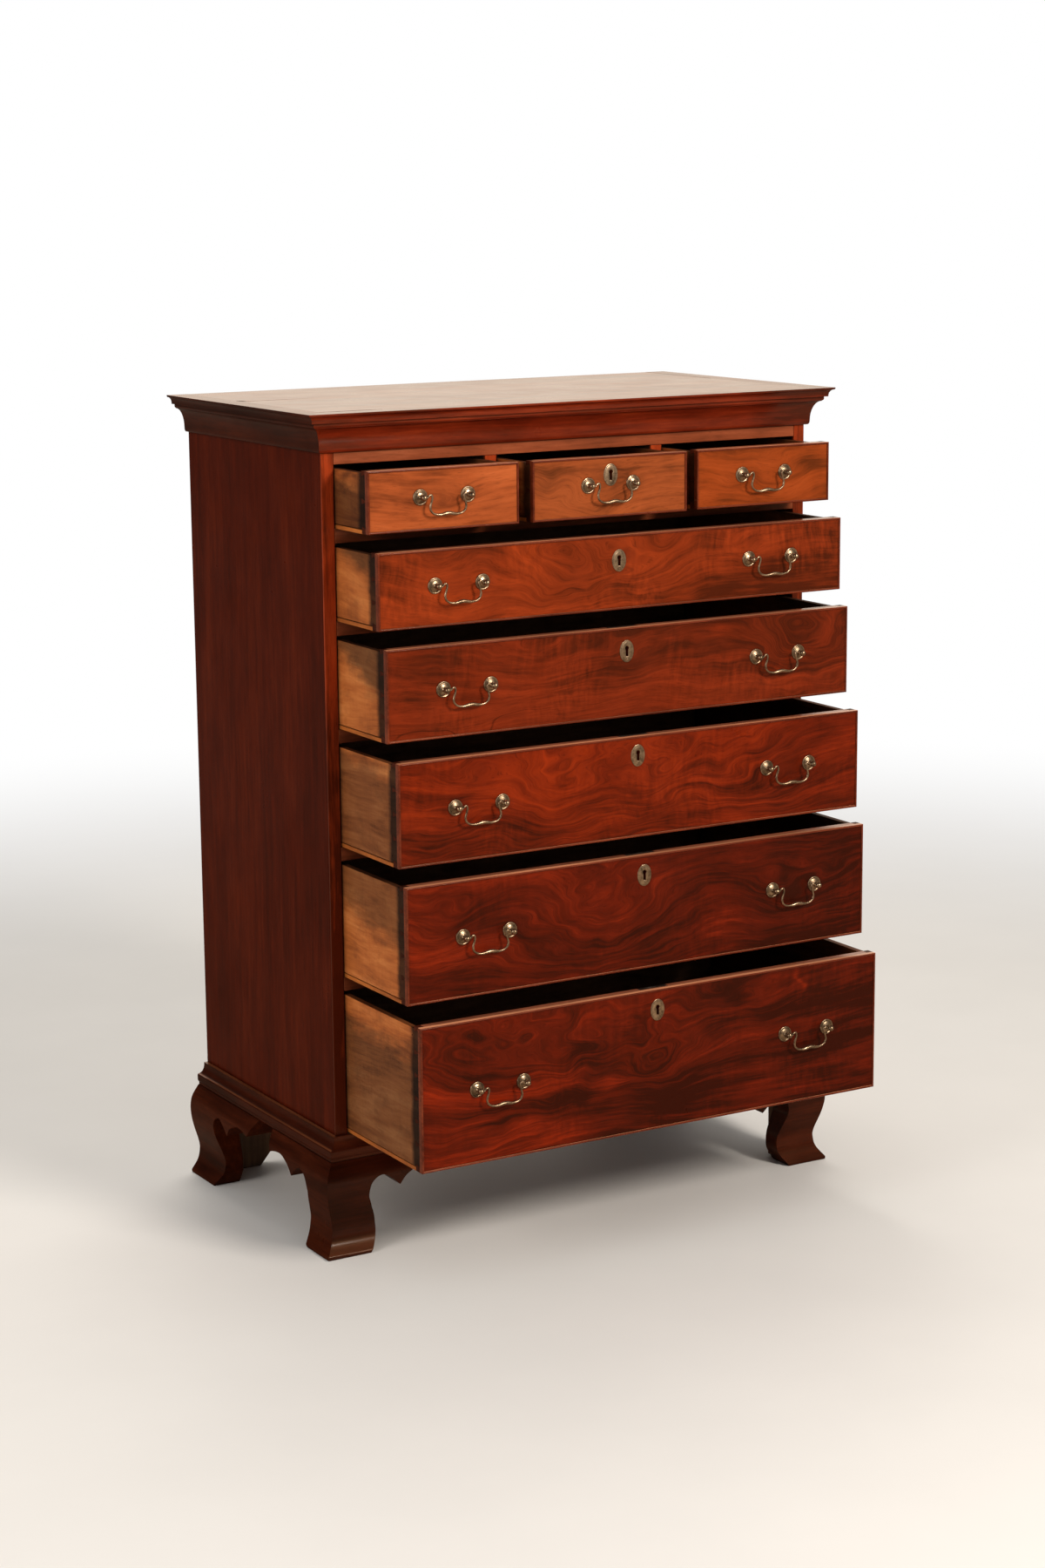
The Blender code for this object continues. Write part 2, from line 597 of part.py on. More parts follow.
def rear_foot_meshes():
    """Left rear foot: a bracket along the side, flush with the back, and a plain slanted one behind."""
    profile = foot_profile()
    length = BRACKET_LENGTH + REAR_LEG_EXTRA
    stations = [lambda o, z: (-HALF_WIDTH - o, CASE_DEPTH - length, z),
                lambda o, z: (-HALF_WIDTH - o, CASE_DEPTH, z)]
    body = rounded(swept_mesh("foot_rear_left", profile, stations))
    scroll = [(CASE_DEPTH - REAR_LEG_EXTRA - u, z) for u, z in scroll_outline()]
    out, inwards = FOOT_SPREAD + CUT_MARGIN, BRACKET_INSET + CUT_MARGIN
    cut = prism_mesh("scroll", scroll, -HALF_WIDTH - out, -HALF_WIDTH + inwards, "X")
    start = BRACKET_INSET - EMBED
    top = FOOT_HEIGHT - 2 * JOINT_GAP
    plain = [(start, 0.0), (BACK_BRACKET_FOOT, 0.0), (BACK_BRACKET_LENGTH, BACK_BRACKET_SLOPE_TOP),
             (BACK_BRACKET_LENGTH, top), (start, top)]
    far = CASE_DEPTH - BACK_BRACKET_SETBACK
    plain = [(-HALF_WIDTH + u, z) for u, z in plain]
    behind = prism_mesh("back_bracket", plain, far - BACK_BRACKET_THICKNESS, far, "Y")
    return body, cut, behind


def make_feet(shop, chest):
    for place, maker in (("front", front_foot_meshes), ("rear", rear_foot_meshes)):
        left = maker()
        right = [mirrored_mesh(mesh.name + "_right", mesh) for mesh in left]
        for side, (body, cut, extra) in (("left", left), ("right", right)):
            name = f"foot_{place}_{side}"
            piece = add_piece(shop, name, body, "case_wood", chest)
            use_tool(shop, piece, name + "_scroll", cut, "DIFFERENCE")
            use_tool(shop, piece, name + "_backing", extra, "UNION")


# Drawers


def post_profile():
    """Rosette, neck and round eye of a handle post, from the tip to the root."""
    points = []
    neck_angle = math.asin(NECK_RADIUS / EYE_RADIUS)
    for k in range(EYE_STEPS + 1):
        angle = (math.pi - neck_angle) * k / EYE_STEPS
        points.append((EYE_RADIUS * math.sin(angle), POST_REACH + EYE_RADIUS * math.cos(angle)))
    points += [(NECK_RADIUS, ROSETTE_RISE), (ROSETTE_RADIUS * ROSETTE_DOME, ROSETTE_RISE),
               (ROSETTE_RADIUS, ROSETTE_RIM), (ROSETTE_RADIUS, -EMBED), (0.0, -EMBED)]
    return points


def oval_outline(width, height):
    turns = [2 * math.pi * k / OVAL_STEPS for k in range(OVAL_STEPS)]
    return [(width / 2 * math.cos(turn), height / 2 * math.sin(turn)) for turn in turns]


def keyhole_outline(grow=0.0):
    """Round head over a straight slot, about its own middle."""
    radius = KEYHOLE_RADIUS + grow
    half_slot = KEYHOLE_SLOT / 2 + grow
    head = KEYHOLE_HEIGHT / 2 - KEYHOLE_RADIUS
    points = []
    low_angle = -math.pi / 2 + math.asin(half_slot / radius)
    high_angle = 3 * math.pi / 2 - math.asin(half_slot / radius)
    for k in range(KEYHOLE_STEPS + 1):
        angle = low_angle + (high_angle - low_angle) * k / KEYHOLE_STEPS
        points.append((radius * math.cos(angle), head + radius * math.sin(angle)))
    foot = -KEYHOLE_HEIGHT / 2 - grow
    return points + [(-half_slot, foot), (half_slot, foot)]


def post_places(drawer):
    """Pivots of the handle posts, as (X, direction of the bail) pairs."""
    return [(centre + side * POST_SPACING / 2, -side)
            for centre in drawer["grips"].values() for side in (-1, 1)]


def make_front(shop, drawer, holder):
    """Drawer front with its bead, end laps, lock recess, handle posts, nuts, escutcheon and keyhole."""
    half, height = drawer["half"], drawer["height"]
    name = drawer["name"] + "_front"
    body = box_mesh(name, (-half, -BEAD_PROUD, 0), (half, FRONT_THICKNESS, height))
    piece = add_piece(shop, name, body, "front_wood", holder)
    inner = half - DRAWER_SIDE_THICKNESS - JOINT_GAP
    beyond = FRONT_THICKNESS + CUT_MARGIN
    cuts = [box_mesh("face", (-half + BEAD_WIDTH, -BEAD_PROUD - CUT_MARGIN, BEAD_WIDTH),
                     (half - BEAD_WIDTH, 0, height - BEAD_WIDTH))]
    for start, end in ((-half - CUT_MARGIN, -inner), (inner, half + CUT_MARGIN)):
        lap = box_mesh("lap", (start, FRONT_LAP, -CUT_MARGIN), (end, beyond, height - SIDE_DROP + JOINT_GAP))
        cuts.append(lap)
    if drawer["drop"]:
        wide = LOCK_WIDTH / 2 + JOINT_GAP
        low = height - drawer["drop"] - LOCK_BELOW_KEYHOLE - JOINT_GAP
        cuts.append(box_mesh("lock_recess", (-wide, FRONT_THICKNESS - LOCK_THICKNESS - JOINT_GAP, low),
                             (wide, beyond, height + CUT_MARGIN)))
    cutter = joined_mesh(name + "_cuts", [(mesh, (0, 0, 0)) for mesh in cuts])
    use_tool(shop, piece, name + "_cuts", cutter, "DIFFERENCE")

    pivot = height / 2 + PULL_RAISE
    fittings, holes = [], []
    for x, inwards in post_places(drawer):
        fittings.append((turned_mesh("post", post_profile()), (x, 0, pivot)))
        nut = box_mesh("nut", (-NUT_SIZE / 2, FRONT_THICKNESS - EMBED, -NUT_SIZE / 2),
                       (NUT_SIZE / 2, FRONT_THICKNESS + NUT_THICKNESS, NUT_SIZE / 2))
        fittings.append((nut, (x, 0, pivot)))
        blind = -inwards * (PIN_OVERRUN + PIN_END_CLEARANCE)
        open_end = inwards * (EYE_RADIUS + CUT_MARGIN)
        hole = cylinder_mesh("pivot_hole", EYE_HOLE_RADIUS, min(blind, open_end), max(blind, open_end))
        holes.append((hole, (x, -POST_REACH, pivot)))
    if drawer["drop"]:
        place = (0, 0, height - drawer["drop"])
        plate = prism_mesh("escutcheon", oval_outline(ESCUTCHEON_WIDTH, ESCUTCHEON_HEIGHT),
                           -ESCUTCHEON_THICKNESS, EMBED, "Y")
        fittings.append((plate, place))
        keyhole = prism_mesh("keyhole", keyhole_outline(), -ESCUTCHEON_THICKNESS - CUT_MARGIN,
                             FRONT_THICKNESS - LOCK_THICKNESS + CUT_MARGIN, "Y")
        holes.append((keyhole, place))
    brasses = rounded(joined_mesh(name + "_fittings", fittings))
    use_tool(shop, piece, name + "_fittings", brasses, "UNION")
    openings = rounded(joined_mesh(name + "_holes", holes))
    use_tool(shop, piece, name + "_holes", openings, "DIFFERENCE")


def make_box(shop, drawer, holder):
    """Sides and back of a drawer with the bottom let into them."""
    half = drawer["half"]
    name = drawer["name"] + "_box"
    low = JOINT_GAP - SILL_CLEARANCE
    high = drawer["height"] - SIDE_DROP
    start = FRONT_LAP + JOINT_GAP
    inner = half - DRAWER_SIDE_THICKNESS
    rear = DRAWER_DEPTH - DRAWER_BACK_THICKNESS
    outline = [(-half, start), (-inner, start), (-inner, rear), (inner, rear), (inner, start), (half, start),
               (half, DRAWER_DEPTH), (-half, DRAWER_DEPTH)]
    piece = add_piece(shop, name, prism_mesh(name, outline, low, high, "Z"), "drawer_wood", holder)
    let_in = DRAWER_BOTTOM_LET_IN
    under = low + DRAWER_BOTTOM_RAISE
    bottom = box_mesh(name + "_bottom", (-inner - let_in, FRONT_THICKNESS + JOINT_GAP, under),
                      (inner + let_in, rear + let_in, under + DRAWER_BOTTOM_THICKNESS))
    use_tool(shop, piece, name + "_bottom", bottom, "UNION")


def make_lock(shop, drawer, holder):
    """Lock case let into the back of the front, and the bolt that rises out of its top edge."""
    top = drawer["height"]
    face = FRONT_THICKNESS - LOCK_THICKNESS
    middle = FRONT_THICKNESS - LOCK_THICKNESS / 2
    keyhole_level = top - drawer["drop"]
    name = drawer["name"] + "_lock"
    body = box_mesh(name, (-LOCK_WIDTH / 2, face, keyhole_level - LOCK_BELOW_KEYHOLE),
                    (LOCK_WIDTH / 2, FRONT_THICKNESS, top))
    piece = add_piece(shop, name, body, "lock_iron", holder)
    half_x = BOLT_WIDTH / 2 + BOLT_CLEARANCE
    half_y = BOLT_THICKNESS / 2 + BOLT_CLEARANCE
    slot = box_mesh("slot", (-half_x, middle - half_y, top - BOLT_HEIGHT - BOLT_CLEARANCE),
                    (half_x, middle + half_y, top + CUT_MARGIN))
    keyhole = prism_mesh("keyhole", keyhole_outline(JOINT_GAP), face - CUT_MARGIN, face + LOCK_KEYHOLE_DEPTH,
                         "Y")
    cuts = joined_mesh(name + "_cuts", [(slot, (0, 0, 0)), (keyhole, (0, 0, keyhole_level))])
    use_tool(shop, piece, name + "_cuts", cuts, "DIFFERENCE")
    bolt = box_mesh(name + "_bolt", (-BOLT_WIDTH / 2, -BOLT_THICKNESS / 2, -BOLT_HEIGHT),
                    (BOLT_WIDTH / 2, BOLT_THICKNESS / 2, 0))
    add_piece(shop, name + "_bolt", bolt, "lock_iron", holder, (0, middle, top))


def bail_line():
    """Right half of a bail from its pin to the middle, as (X, height, radius) points about the pivot."""
    pin = POST_SPACING / 2
    face = pin - EYE_RADIUS
    upright = face - BAIL_NECK
    half = upright + BAIL_SPREAD
    points = [(pin + PIN_OVERRUN, 0.0, PIN_RADIUS)]
    for i, (in_from_eye, up) in enumerate(BAIL_HUMP):
        points.append((face - BAIL_NECK * in_from_eye, BAIL_LIFT * up, BAIL_RADIUS if i else PIN_RADIUS))
    points += [(upright + BAIL_SPREAD * out, -BAIL_DROP * down, BAIL_RADIUS) for out, down in BAIL_UPRIGHT]
    points += [(half * out, -BAIL_DROP * down, BAIL_RADIUS + (BAIL_SWELL - BAIL_RADIUS) * swell)
               for out, down, swell in BAIL_BOTTOM]
    return points


def bail_mesh(name):
    half = bail_line()
    points = half + [(-x, z, r) for x, z, r in reversed(half[:-1])]
    curve = bpy.data.curves.new(name, "CURVE")
    curve.dimensions = "3D"
    curve.bevel_depth = 1.0
    curve.bevel_resolution = 1
    curve.use_fill_caps = True
    spline = curve.splines.new("POLY")
    spline.points.add(len(points) - 1)
    for point, (x, z, radius) in zip(spline.points, points):
        point.co = (x, 0.0, z, 1.0)
        point.radius = radius
    return curve_mesh(curve, name)


def make_bails(shop, drawer, holder):
    pivot = drawer["height"] / 2 + PULL_RAISE
    for side, centre in drawer["grips"].items():
        name = "_".join(filter(None, (drawer["name"], "bail", side)))
        place = (centre, -POST_REACH, pivot)
        add_piece(shop, name, rounded(bail_mesh(name)), "aged_brass", holder, place)


def make_drawer(shop, chest, drawer):
    place = (drawer["centre"], -drawer["pull"], drawer["sill"] + SILL_CLEARANCE)
    holder = add_empty(shop, drawer["name"] + "_slide", chest, place)
    make_front(shop, drawer, holder)
    make_box(shop, drawer, holder)
    make_bails(shop, drawer, holder)
    if drawer["drop"]:
        make_lock(shop, drawer, holder)


def main():
    clear_scene()
    shop = {"parts": new_collection("tall_chest"), "tools": new_collection("tall_chest_tools")}
    for name, finish in FINISHES.items():
        shop[name] = new_material(name, *finish)
    plan, opening_top = drawer_plan()
    front_reach = max(d["pull"] for d in plan) + POST_REACH + EYE_RADIUS
    chest = add_empty(shop, "chest", None, (0, (front_reach - CASE_DEPTH) / 2, 0))
    cornice_bottom = make_case(shop, chest, plan, opening_top)
    make_mouldings(shop, chest, cornice_bottom)
    make_feet(shop, chest)
    for drawer in plan:
        make_drawer(shop, chest, drawer)


main()
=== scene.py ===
import math
from types import SimpleNamespace
import bmesh
import bpy
from mathutils import Matrix, Vector


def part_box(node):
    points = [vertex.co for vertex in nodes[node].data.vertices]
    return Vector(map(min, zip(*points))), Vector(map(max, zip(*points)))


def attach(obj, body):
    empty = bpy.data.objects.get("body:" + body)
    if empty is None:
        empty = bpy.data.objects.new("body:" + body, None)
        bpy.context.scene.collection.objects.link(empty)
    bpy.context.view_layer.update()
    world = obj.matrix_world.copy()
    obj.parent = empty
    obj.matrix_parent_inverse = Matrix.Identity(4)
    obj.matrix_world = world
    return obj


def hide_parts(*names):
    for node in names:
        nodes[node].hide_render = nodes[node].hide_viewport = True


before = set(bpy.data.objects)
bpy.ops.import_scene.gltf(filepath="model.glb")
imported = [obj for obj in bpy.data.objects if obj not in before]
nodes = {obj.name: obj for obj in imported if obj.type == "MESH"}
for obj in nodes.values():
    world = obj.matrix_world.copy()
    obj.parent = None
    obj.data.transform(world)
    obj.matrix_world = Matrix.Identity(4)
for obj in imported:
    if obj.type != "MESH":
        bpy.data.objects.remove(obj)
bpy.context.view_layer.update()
scene = bpy.context.scene
scene.view_settings.view_transform = "Standard"
print("frame loaded,", len(nodes), "CAD nodes")

# Node helpers

turnTo = {"X": (0, 0, 0), "Y": (0, 0, -math.pi / 2), "Z": (0, math.pi / 2, 0)}  # lays the grain along X
white = (1.0, 1.0, 1.0)


def addNode(tree, kind, inputs=(), **settings):
    node = tree.nodes.new(kind)
    for key, value in settings.items():
        setattr(node, key, value)
    for key, value in dict(inputs).items():
        if isinstance(value, bpy.types.NodeSocket):
            tree.links.new(value, node.inputs[key])
        else:
            node.inputs[key].default_value = value
    return node


def put(tree, kind, inputs=(), output=0, **settings):
    return addNode(tree, kind, inputs, **settings).outputs[output]


def mapped(tree, vector, scale=(1, 1, 1), turn=(0, 0, 0), shift=(0, 0, 0)):
    return put(tree, "ShaderNodeMapping", {"Vector": vector, "Scale": scale, "Rotation": turn,
                                           "Location": shift})


def noise(tree, vector, stretch, scale, detail=3.0, roughness=0.55, output=0, **placing):
    if stretch:
        vector = mapped(tree, vector, stretch, **placing)
    return put(tree, "ShaderNodeTexNoise", {"Vector": vector, "Scale": scale, "Detail": detail,
                                            "Roughness": roughness}, output)


def maths(tree, operation, *values):
    return put(tree, "ShaderNodeMath", dict(enumerate(values)), operation=operation)


def vectorMaths(tree, operation, *values, output=0):
    return put(tree, "ShaderNodeVectorMath", dict(enumerate(values)), output, operation=operation)


def weighted(tree, value, weight, total):
    return maths(tree, "MULTIPLY_ADD", value, weight, total)


def swung(tree, value, weight, total, middle=0.5):
    # adds what a noise is over or under its middle
    return weighted(tree, maths(tree, "SUBTRACT", value, middle), weight, total)


def remap(tree, value, low, high, toLow=0.0, toHigh=1.0, **settings):
    return put(tree, "ShaderNodeMapRange", {"Value": value, "From Min": low, "From Max": high,
                                            "To Min": toLow, "To Max": toHigh}, **settings)


def ramp(tree, factor, places, colours):
    node = addNode(tree, "ShaderNodeValToRGB", {"Fac": factor})
    while len(node.color_ramp.elements) < len(places):
        node.color_ramp.elements.new(0.5)
    for element, place, colour in zip(node.color_ramp.elements, places, colours):
        element.position = place
        element.color = (*colour, 1.0)
    return node.outputs[0]


def mixed(tree, factor, first, second, blend="MIX"):
    def colour(value):
        return value if isinstance(value, bpy.types.NodeSocket) else (*value, 1.0)

    return put(tree, "ShaderNodeMix", {0: factor, 6: colour(first), 7: colour(second)}, 2,
               data_type="RGBA", blend_type=blend)


def filtered(tree, colour, other):
    return mixed(tree, 1.0, colour, other, "MULTIPLY")


def tinted(tree, colour, shade):
    # the colour made darker by a plain number
    return filtered(tree, colour, put(tree, "ShaderNodeCombineColor", {0: shade, 1: shade, 2: shade}))


# ambient occlusion of the hollows: in the woods it paints shade into corners, joints and recesses, in the
# metals it marks where patina lies
def grime(tree, distance):
    return put(tree, "ShaderNodeAmbientOcclusion", {"Distance": distance}, "AO", samples=6)


def bump(tree, height, distance, strength=1.0, normal=None):
    inputs = {"Height": height, "Distance": distance, "Strength": strength}
    if normal:
        inputs["Normal"] = normal
    return put(tree, "ShaderNodeBump", inputs)


def axesOf(tree, vector):
    return addNode(tree, "ShaderNodeSeparateXYZ", {0: vector}).outputs


def startMaterial(name):
    material = bpy.data.materials.new(name)
    material.use_nodes = True
    tree = material.node_tree
    tree.nodes.clear()
    return material, tree, addNode(tree, "ShaderNodeTexCoord").outputs


def endMaterial(tree, sockets):
    addNode(tree, "ShaderNodeOutputMaterial", {"Surface": put(tree, "ShaderNodeBsdfPrincipled", sockets)})


# Mesh makers

def toObject(name, work, smooth=None):
    bmesh.ops.recalc_face_normals(work, faces=work.faces)
    mesh = bpy.data.meshes.new(name)
    work.to_mesh(mesh)
    work.free()
    if smooth:
        mesh.shade_smooth()
        mesh.set_sharp_from_angle(angle=math.radians(smooth))
    item = bpy.data.objects.new(name, mesh)
    scene.collection.objects.link(item)
    return item


def settle(item):
    # what the modifiers make becomes the plain mesh
    mesh = bpy.data.meshes.new_from_object(item.evaluated_get(bpy.context.evaluated_depsgraph_get()))
    old = item.data
    item.modifiers.clear()
    item.data = mesh
    bpy.data.meshes.remove(old)
    mesh.name = item.name
    return item


def drop(item):
    mesh = item.data
    bpy.data.objects.remove(item, do_unlink=True)
    bpy.data.meshes.remove(mesh)


def carve(item, work):
    tool = toObject(item.name + "Cutter", work)
    cut = item.modifiers.new("carve", "BOOLEAN")
    cut.operation, cut.solver, cut.object, cut.use_self = "DIFFERENCE", "EXACT", tool, True
    settle(item)
    drop(tool)
    return item


def mirrored(item, name):
    # the same piece on the other side
    mesh = item.data.copy()
    work = bmesh.new()
    work.from_mesh(mesh)
    bmesh.ops.scale(work, vec=(-1, 1, 1), verts=work.verts)
    bmesh.ops.reverse_faces(work, faces=work.faces)
    work.to_mesh(mesh)
    work.free()
    mesh.name = name
    twin = bpy.data.objects.new(name, mesh)
    scene.collection.objects.link(twin)
    return twin


def bothHands(item):
    return (item, "left"), (mirrored(item, item.name.replace("left", "right")), "right")


def addBox(work, low, high):
    for corner in bmesh.ops.create_cube(work, size=1.0)["verts"]:
        corner.co = [a if c < 0 else b for c, a, b in zip(corner.co, low, high)]


def boxes(pairs):
    work = bmesh.new()
    for low, high in pairs:
        addBox(work, low, high)
    return work


def bridge(work, ring, following):
    # a band of faces between two rings of points; a ring of one point is a tip
    for k in range(max(len(ring), len(following))):
        corners = [ring[k % len(ring)], ring[(k + 1) % len(ring)],
                   following[(k + 1) % len(following)], following[k % len(following)]]
        work.faces.new(list(dict.fromkeys(corners)))


def addSweep(work, profile, stations):
    # a station is a function that places a pair of the profile
    rings = [[work.verts.new(station(*pair)) for pair in profile] for station in stations]
    for ring, following in zip(rings, rings[1:]):
        bridge(work, ring, following)
    work.faces.new(rings[0])
    work.faces.new(rings[-1])
    return work


def addPrism(work, outline, low, high, axis):
    # the outline's pairs are (y, z) for X, (x, z) for Y and (x, y) for Z
    def station(depth):
        def place(*pair):
            spot = list(pair)
            spot.insert("XYZ".index(axis), depth)
            return spot

        return place

    return addSweep(work, outline, (station(low), station(high)))


def addLathe(work, profile, axis, place=(0, 0, 0), steps=24):
    # (radius, reach) pairs about a line through place; reach runs along the axis
    along = Vector(axis)
    across = Vector((0, 0, 1))
    other = along.cross(across)
    turns = [2 * math.pi * k / steps for k in range(steps)]
    rings = []
    for radius, reach in profile:
        centre = Vector(place) + along * reach
        spokes = [(across * math.cos(t) + other * math.sin(t)) * radius for t in turns]
        rings.append([work.verts.new(centre + spoke) for spoke in (spokes if radius else spokes[:1])])
    for ring, following in zip(rings, rings[1:]):
        bridge(work, ring, following)
    return work


def catmull(points, steps):
    line = []
    last = len(points) - 1
    for i in range(last):
        before, start, end, after = (Vector(points[min(max(i + k, 0), last)]) for k in (-1, 0, 1, 2))
        for k in range(steps):
            t = k / steps
            bend, twist = 2 * before - 5 * start + 4 * end - after, 3 * start - before - 3 * end + after
            line.append(0.5 * (2 * start + (end - before) * t + bend * t ** 2 + twist * t ** 3))
    return [tuple(point) for point in line] + [tuple(points[-1])]


def middleOf(node):
    return sum(corner.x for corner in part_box(node)) / 2


def moved(outline, across, up):
    return [(across + x, up + z) for x, z in outline]


def finishPiece(item, body, material, stand, edge=None, segments=2, angle=32):
    if edge:
        item.data.shade_smooth()
        bevel = item.modifiers.new("worn edges", "BEVEL")
        bevel.width, bevel.segments, bevel.limit_method = edge, segments, "ANGLE"
        bevel.angle_limit = math.radians(angle)
        bevel.harden_normals = True
    item.data.materials.clear()
    item.data.materials.append(material)
    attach(item, body)
    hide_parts(stand)


def boardPiece(name, pairs, body, material, stand, edge=0.0006, cuts=()):
    item = toObject(name, boxes(pairs))
    if cuts:
        carve(item, boxes(cuts))
    finishPiece(item, body, material, stand, edge)


# Geometry Nodes: studs on points, planks in a row, wire along a line

def startTree(name, sockets):
    tree = bpy.data.node_groups.new(name, "GeometryNodeTree")
    for socketName, kind in {"Geometry": "Geometry", **sockets}.items():
        tree.interface.new_socket(socketName, in_out="INPUT", socket_type="NodeSocket" + kind)
    tree.interface.new_socket("Geometry", in_out="OUTPUT", socket_type="NodeSocketGeometry")
    return tree, addNode(tree, "NodeGroupInput").outputs


def endTree(tree, geometry, finish, smooth=False):
    real = put(tree, "GeometryNodeRealizeInstances", {"Geometry": geometry})
    if smooth:
        real = put(tree, "GeometryNodeSetShadeSmooth", {"Geometry": real})
    dressed = put(tree, "GeometryNodeSetMaterial", {"Geometry": real, "Material": finish})
    addNode(tree, "NodeGroupOutput", {0: dressed})
    return tree


def randomVector(tree, low, high, seed):
    return put(tree, "FunctionNodeRandomValue", {0: low, 1: high, "Seed": seed}, data_type="FLOAT_VECTOR")


def makeStudTree():
    tree, given = startTree("studs on points", {
        "Stud": "Object", "Lean": "Float", "Spin": "Float", "Seed": "Int", "Finish": "Material"})
    stud = put(tree, "GeometryNodeObjectInfo", {"Object": given["Stud"]}, "Geometry")
    heading = put(tree, "GeometryNodeInputNamedAttribute", {"Name": "heading"}, data_type="FLOAT_VECTOR")
    high = put(tree, "ShaderNodeCombineXYZ", {0: given["Lean"], 1: given["Spin"], 2: given["Lean"]})
    low = vectorMaths(tree, "MULTIPLY", high, (-1.0, -1.0, -1.0))
    turn = vectorMaths(tree, "ADD", heading, randomVector(tree, low, high, given["Seed"]))
    turn = put(tree, "FunctionNodeEulerToRotation", {0: turn})
    studded = put(tree, "GeometryNodeInstanceOnPoints", {"Points": given["Geometry"], "Instance": stud,
                                                         "Rotation": turn})
    return endTree(tree, studded, given["Finish"])


def makePlankTree():
    tree, given = startTree("planks in a row", {
        "Corner": "Vector", "Size": "Vector", "Step": "Vector", "Count": "Int",
        "Unevenness": "Vector", "Seed": "Int", "Finish": "Material"})
    half = put(tree, "ShaderNodeVectorMath", {0: given["Size"], "Scale": 0.5}, operation="SCALE")
    start = vectorMaths(tree, "ADD", given["Corner"], half)
    row = put(tree, "GeometryNodeMeshLine", {"Count": given["Count"], "Offset": given["Step"],
                                             "Start Location": start})
    loose = randomVector(tree, (0.0, 0.0, 0.0), given["Unevenness"], given["Seed"])
    row = put(tree, "GeometryNodeSetPosition", {"Geometry": row, "Offset": loose})
    plank = put(tree, "GeometryNodeMeshCube", {"Size": given["Size"]}, "Mesh")
    planks = put(tree, "GeometryNodeInstanceOnPoints", {"Points": row, "Instance": plank})
    return endTree(tree, planks, given["Finish"])


def makeWireTree():
    tree, given = startTree("wire along a line", {"Steps": "Int", "Sides": "Int", "Finish": "Material"})
    line = put(tree, "GeometryNodeMeshToCurve", {"Mesh": given["Geometry"]})
    line = put(tree, "GeometryNodeCurveSplineType", {"Curve": line}, spline_type="CATMULL_ROM")
    line = put(tree, "GeometryNodeSetSplineResolution", {"Geometry": line, "Resolution": given["Steps"]})
    section = put(tree, "GeometryNodeCurvePrimitiveCircle", {"Resolution": given["Sides"], "Radius": 1.0},
                  "Curve", mode="RADIUS")
    thickness = put(tree, "GeometryNodeInputNamedAttribute", {"Name": "thickness"}, data_type="FLOAT")
    wire = put(tree, "GeometryNodeCurveToMesh", {"Curve": line, "Profile Curve": section, "Scale": thickness,
                                                 "Fill Caps": True})
    return endTree(tree, wire, given["Finish"], True)


studTree, plankTree, wireTree = makeStudTree(), makePlankTree(), makeWireTree()


def grow(name, tree, values, points=((0, 0, 0),), lines=(), **attributes):
    # runs a tree on loose points and keeps the plain mesh
    mesh = bpy.data.meshes.new(name)
    mesh.from_pydata([tuple(point) for point in points], list(lines), [])
    for key, rows in attributes.items():
        wide = isinstance(rows[0], tuple)
        layer = mesh.attributes.new(key, "FLOAT_VECTOR" if wide else "FLOAT", "POINT")
        flat = [number for row in rows for number in row] if wide else rows
        layer.data.foreach_set("vector" if wide else "value", flat)
    item = bpy.data.objects.new(name, mesh)
    scene.collection.objects.link(item)
    growth = item.modifiers.new("growth", "NODES")
    growth.node_group = tree
    for socket in tree.interface.items_tree:
        if socket.in_out == "INPUT" and socket.name in values:
            growth[socket.identifier] = values[socket.name]
    return settle(item)


def studPiece(name, stud, points, body, material, stand, seed, lean=0.0, spin=0.0, headings=(0.0, 0.0, 0.0)):
    # lean and spin are how far each stud may be off its heading; one heading serves all points
    if isinstance(headings, tuple):
        headings = [headings] * len(points)
    item = grow(name, studTree, {"Stud": stud, "Lean": lean, "Spin": spin, "Seed": seed, "Finish": material},
                points, heading=headings)
    finishPiece(item, body, material, stand)


# Camera, lamps, floor and world

studio = {
    "cameraPlace": (-2.7146, -4.5698, 1.8184),
    "cameraRight": (0.8619, -0.507, -0.0086),
    "cameraForward": (0.4956, 0.8458, -0.1977),
    "lens": 69.84,
    "sensor": 36.0,
    "aim": (0.0, 0.0, 0.75),
    "lamps": {  # place, size, watts, colour
        "keyLamp": ((1.2, -4.4, 3.1), 1.3, 196.0, (1.0, 0.93, 0.85)),
        "sideLamp": ((-4.2, -0.9, 2.2), 2.2, 62.0, (1.0, 0.95, 0.9)),
        "topLamp": ((0.4, 1.6, 3.6), 2.0, 52.0, (1.0, 0.95, 0.88)),
    },
    "ambient": 0.4,                         # the world as the wood sees it
    "roomFront": (-0.35, 0.45, 0.1),        # the world in reflections: it fades between two headings towards
    "roomLeft": (-0.1, 0.38, 0.05),         # the camera and to the left, to the third number
    "wallMirror": (1.0, 0.89, 0.74),        # the backdrop as the polish shows it
    "floorMirror": (0.3, 0.22, 0.15),       # the floor likewise, and how far it fades to white
    "floorMirrorFade": 0.15,
    "floorColour": (0.83, 0.805, 0.77),
    "floorMottle": (3.0, 4.0, 0.97),        # scale, detail and darkest share of the floor's mottling
    "floorRoughness": 0.6,
    "floorRadius": 24.0,
    "floorFade": (1.6, 4.6),                # distances between which the floor turns white
}


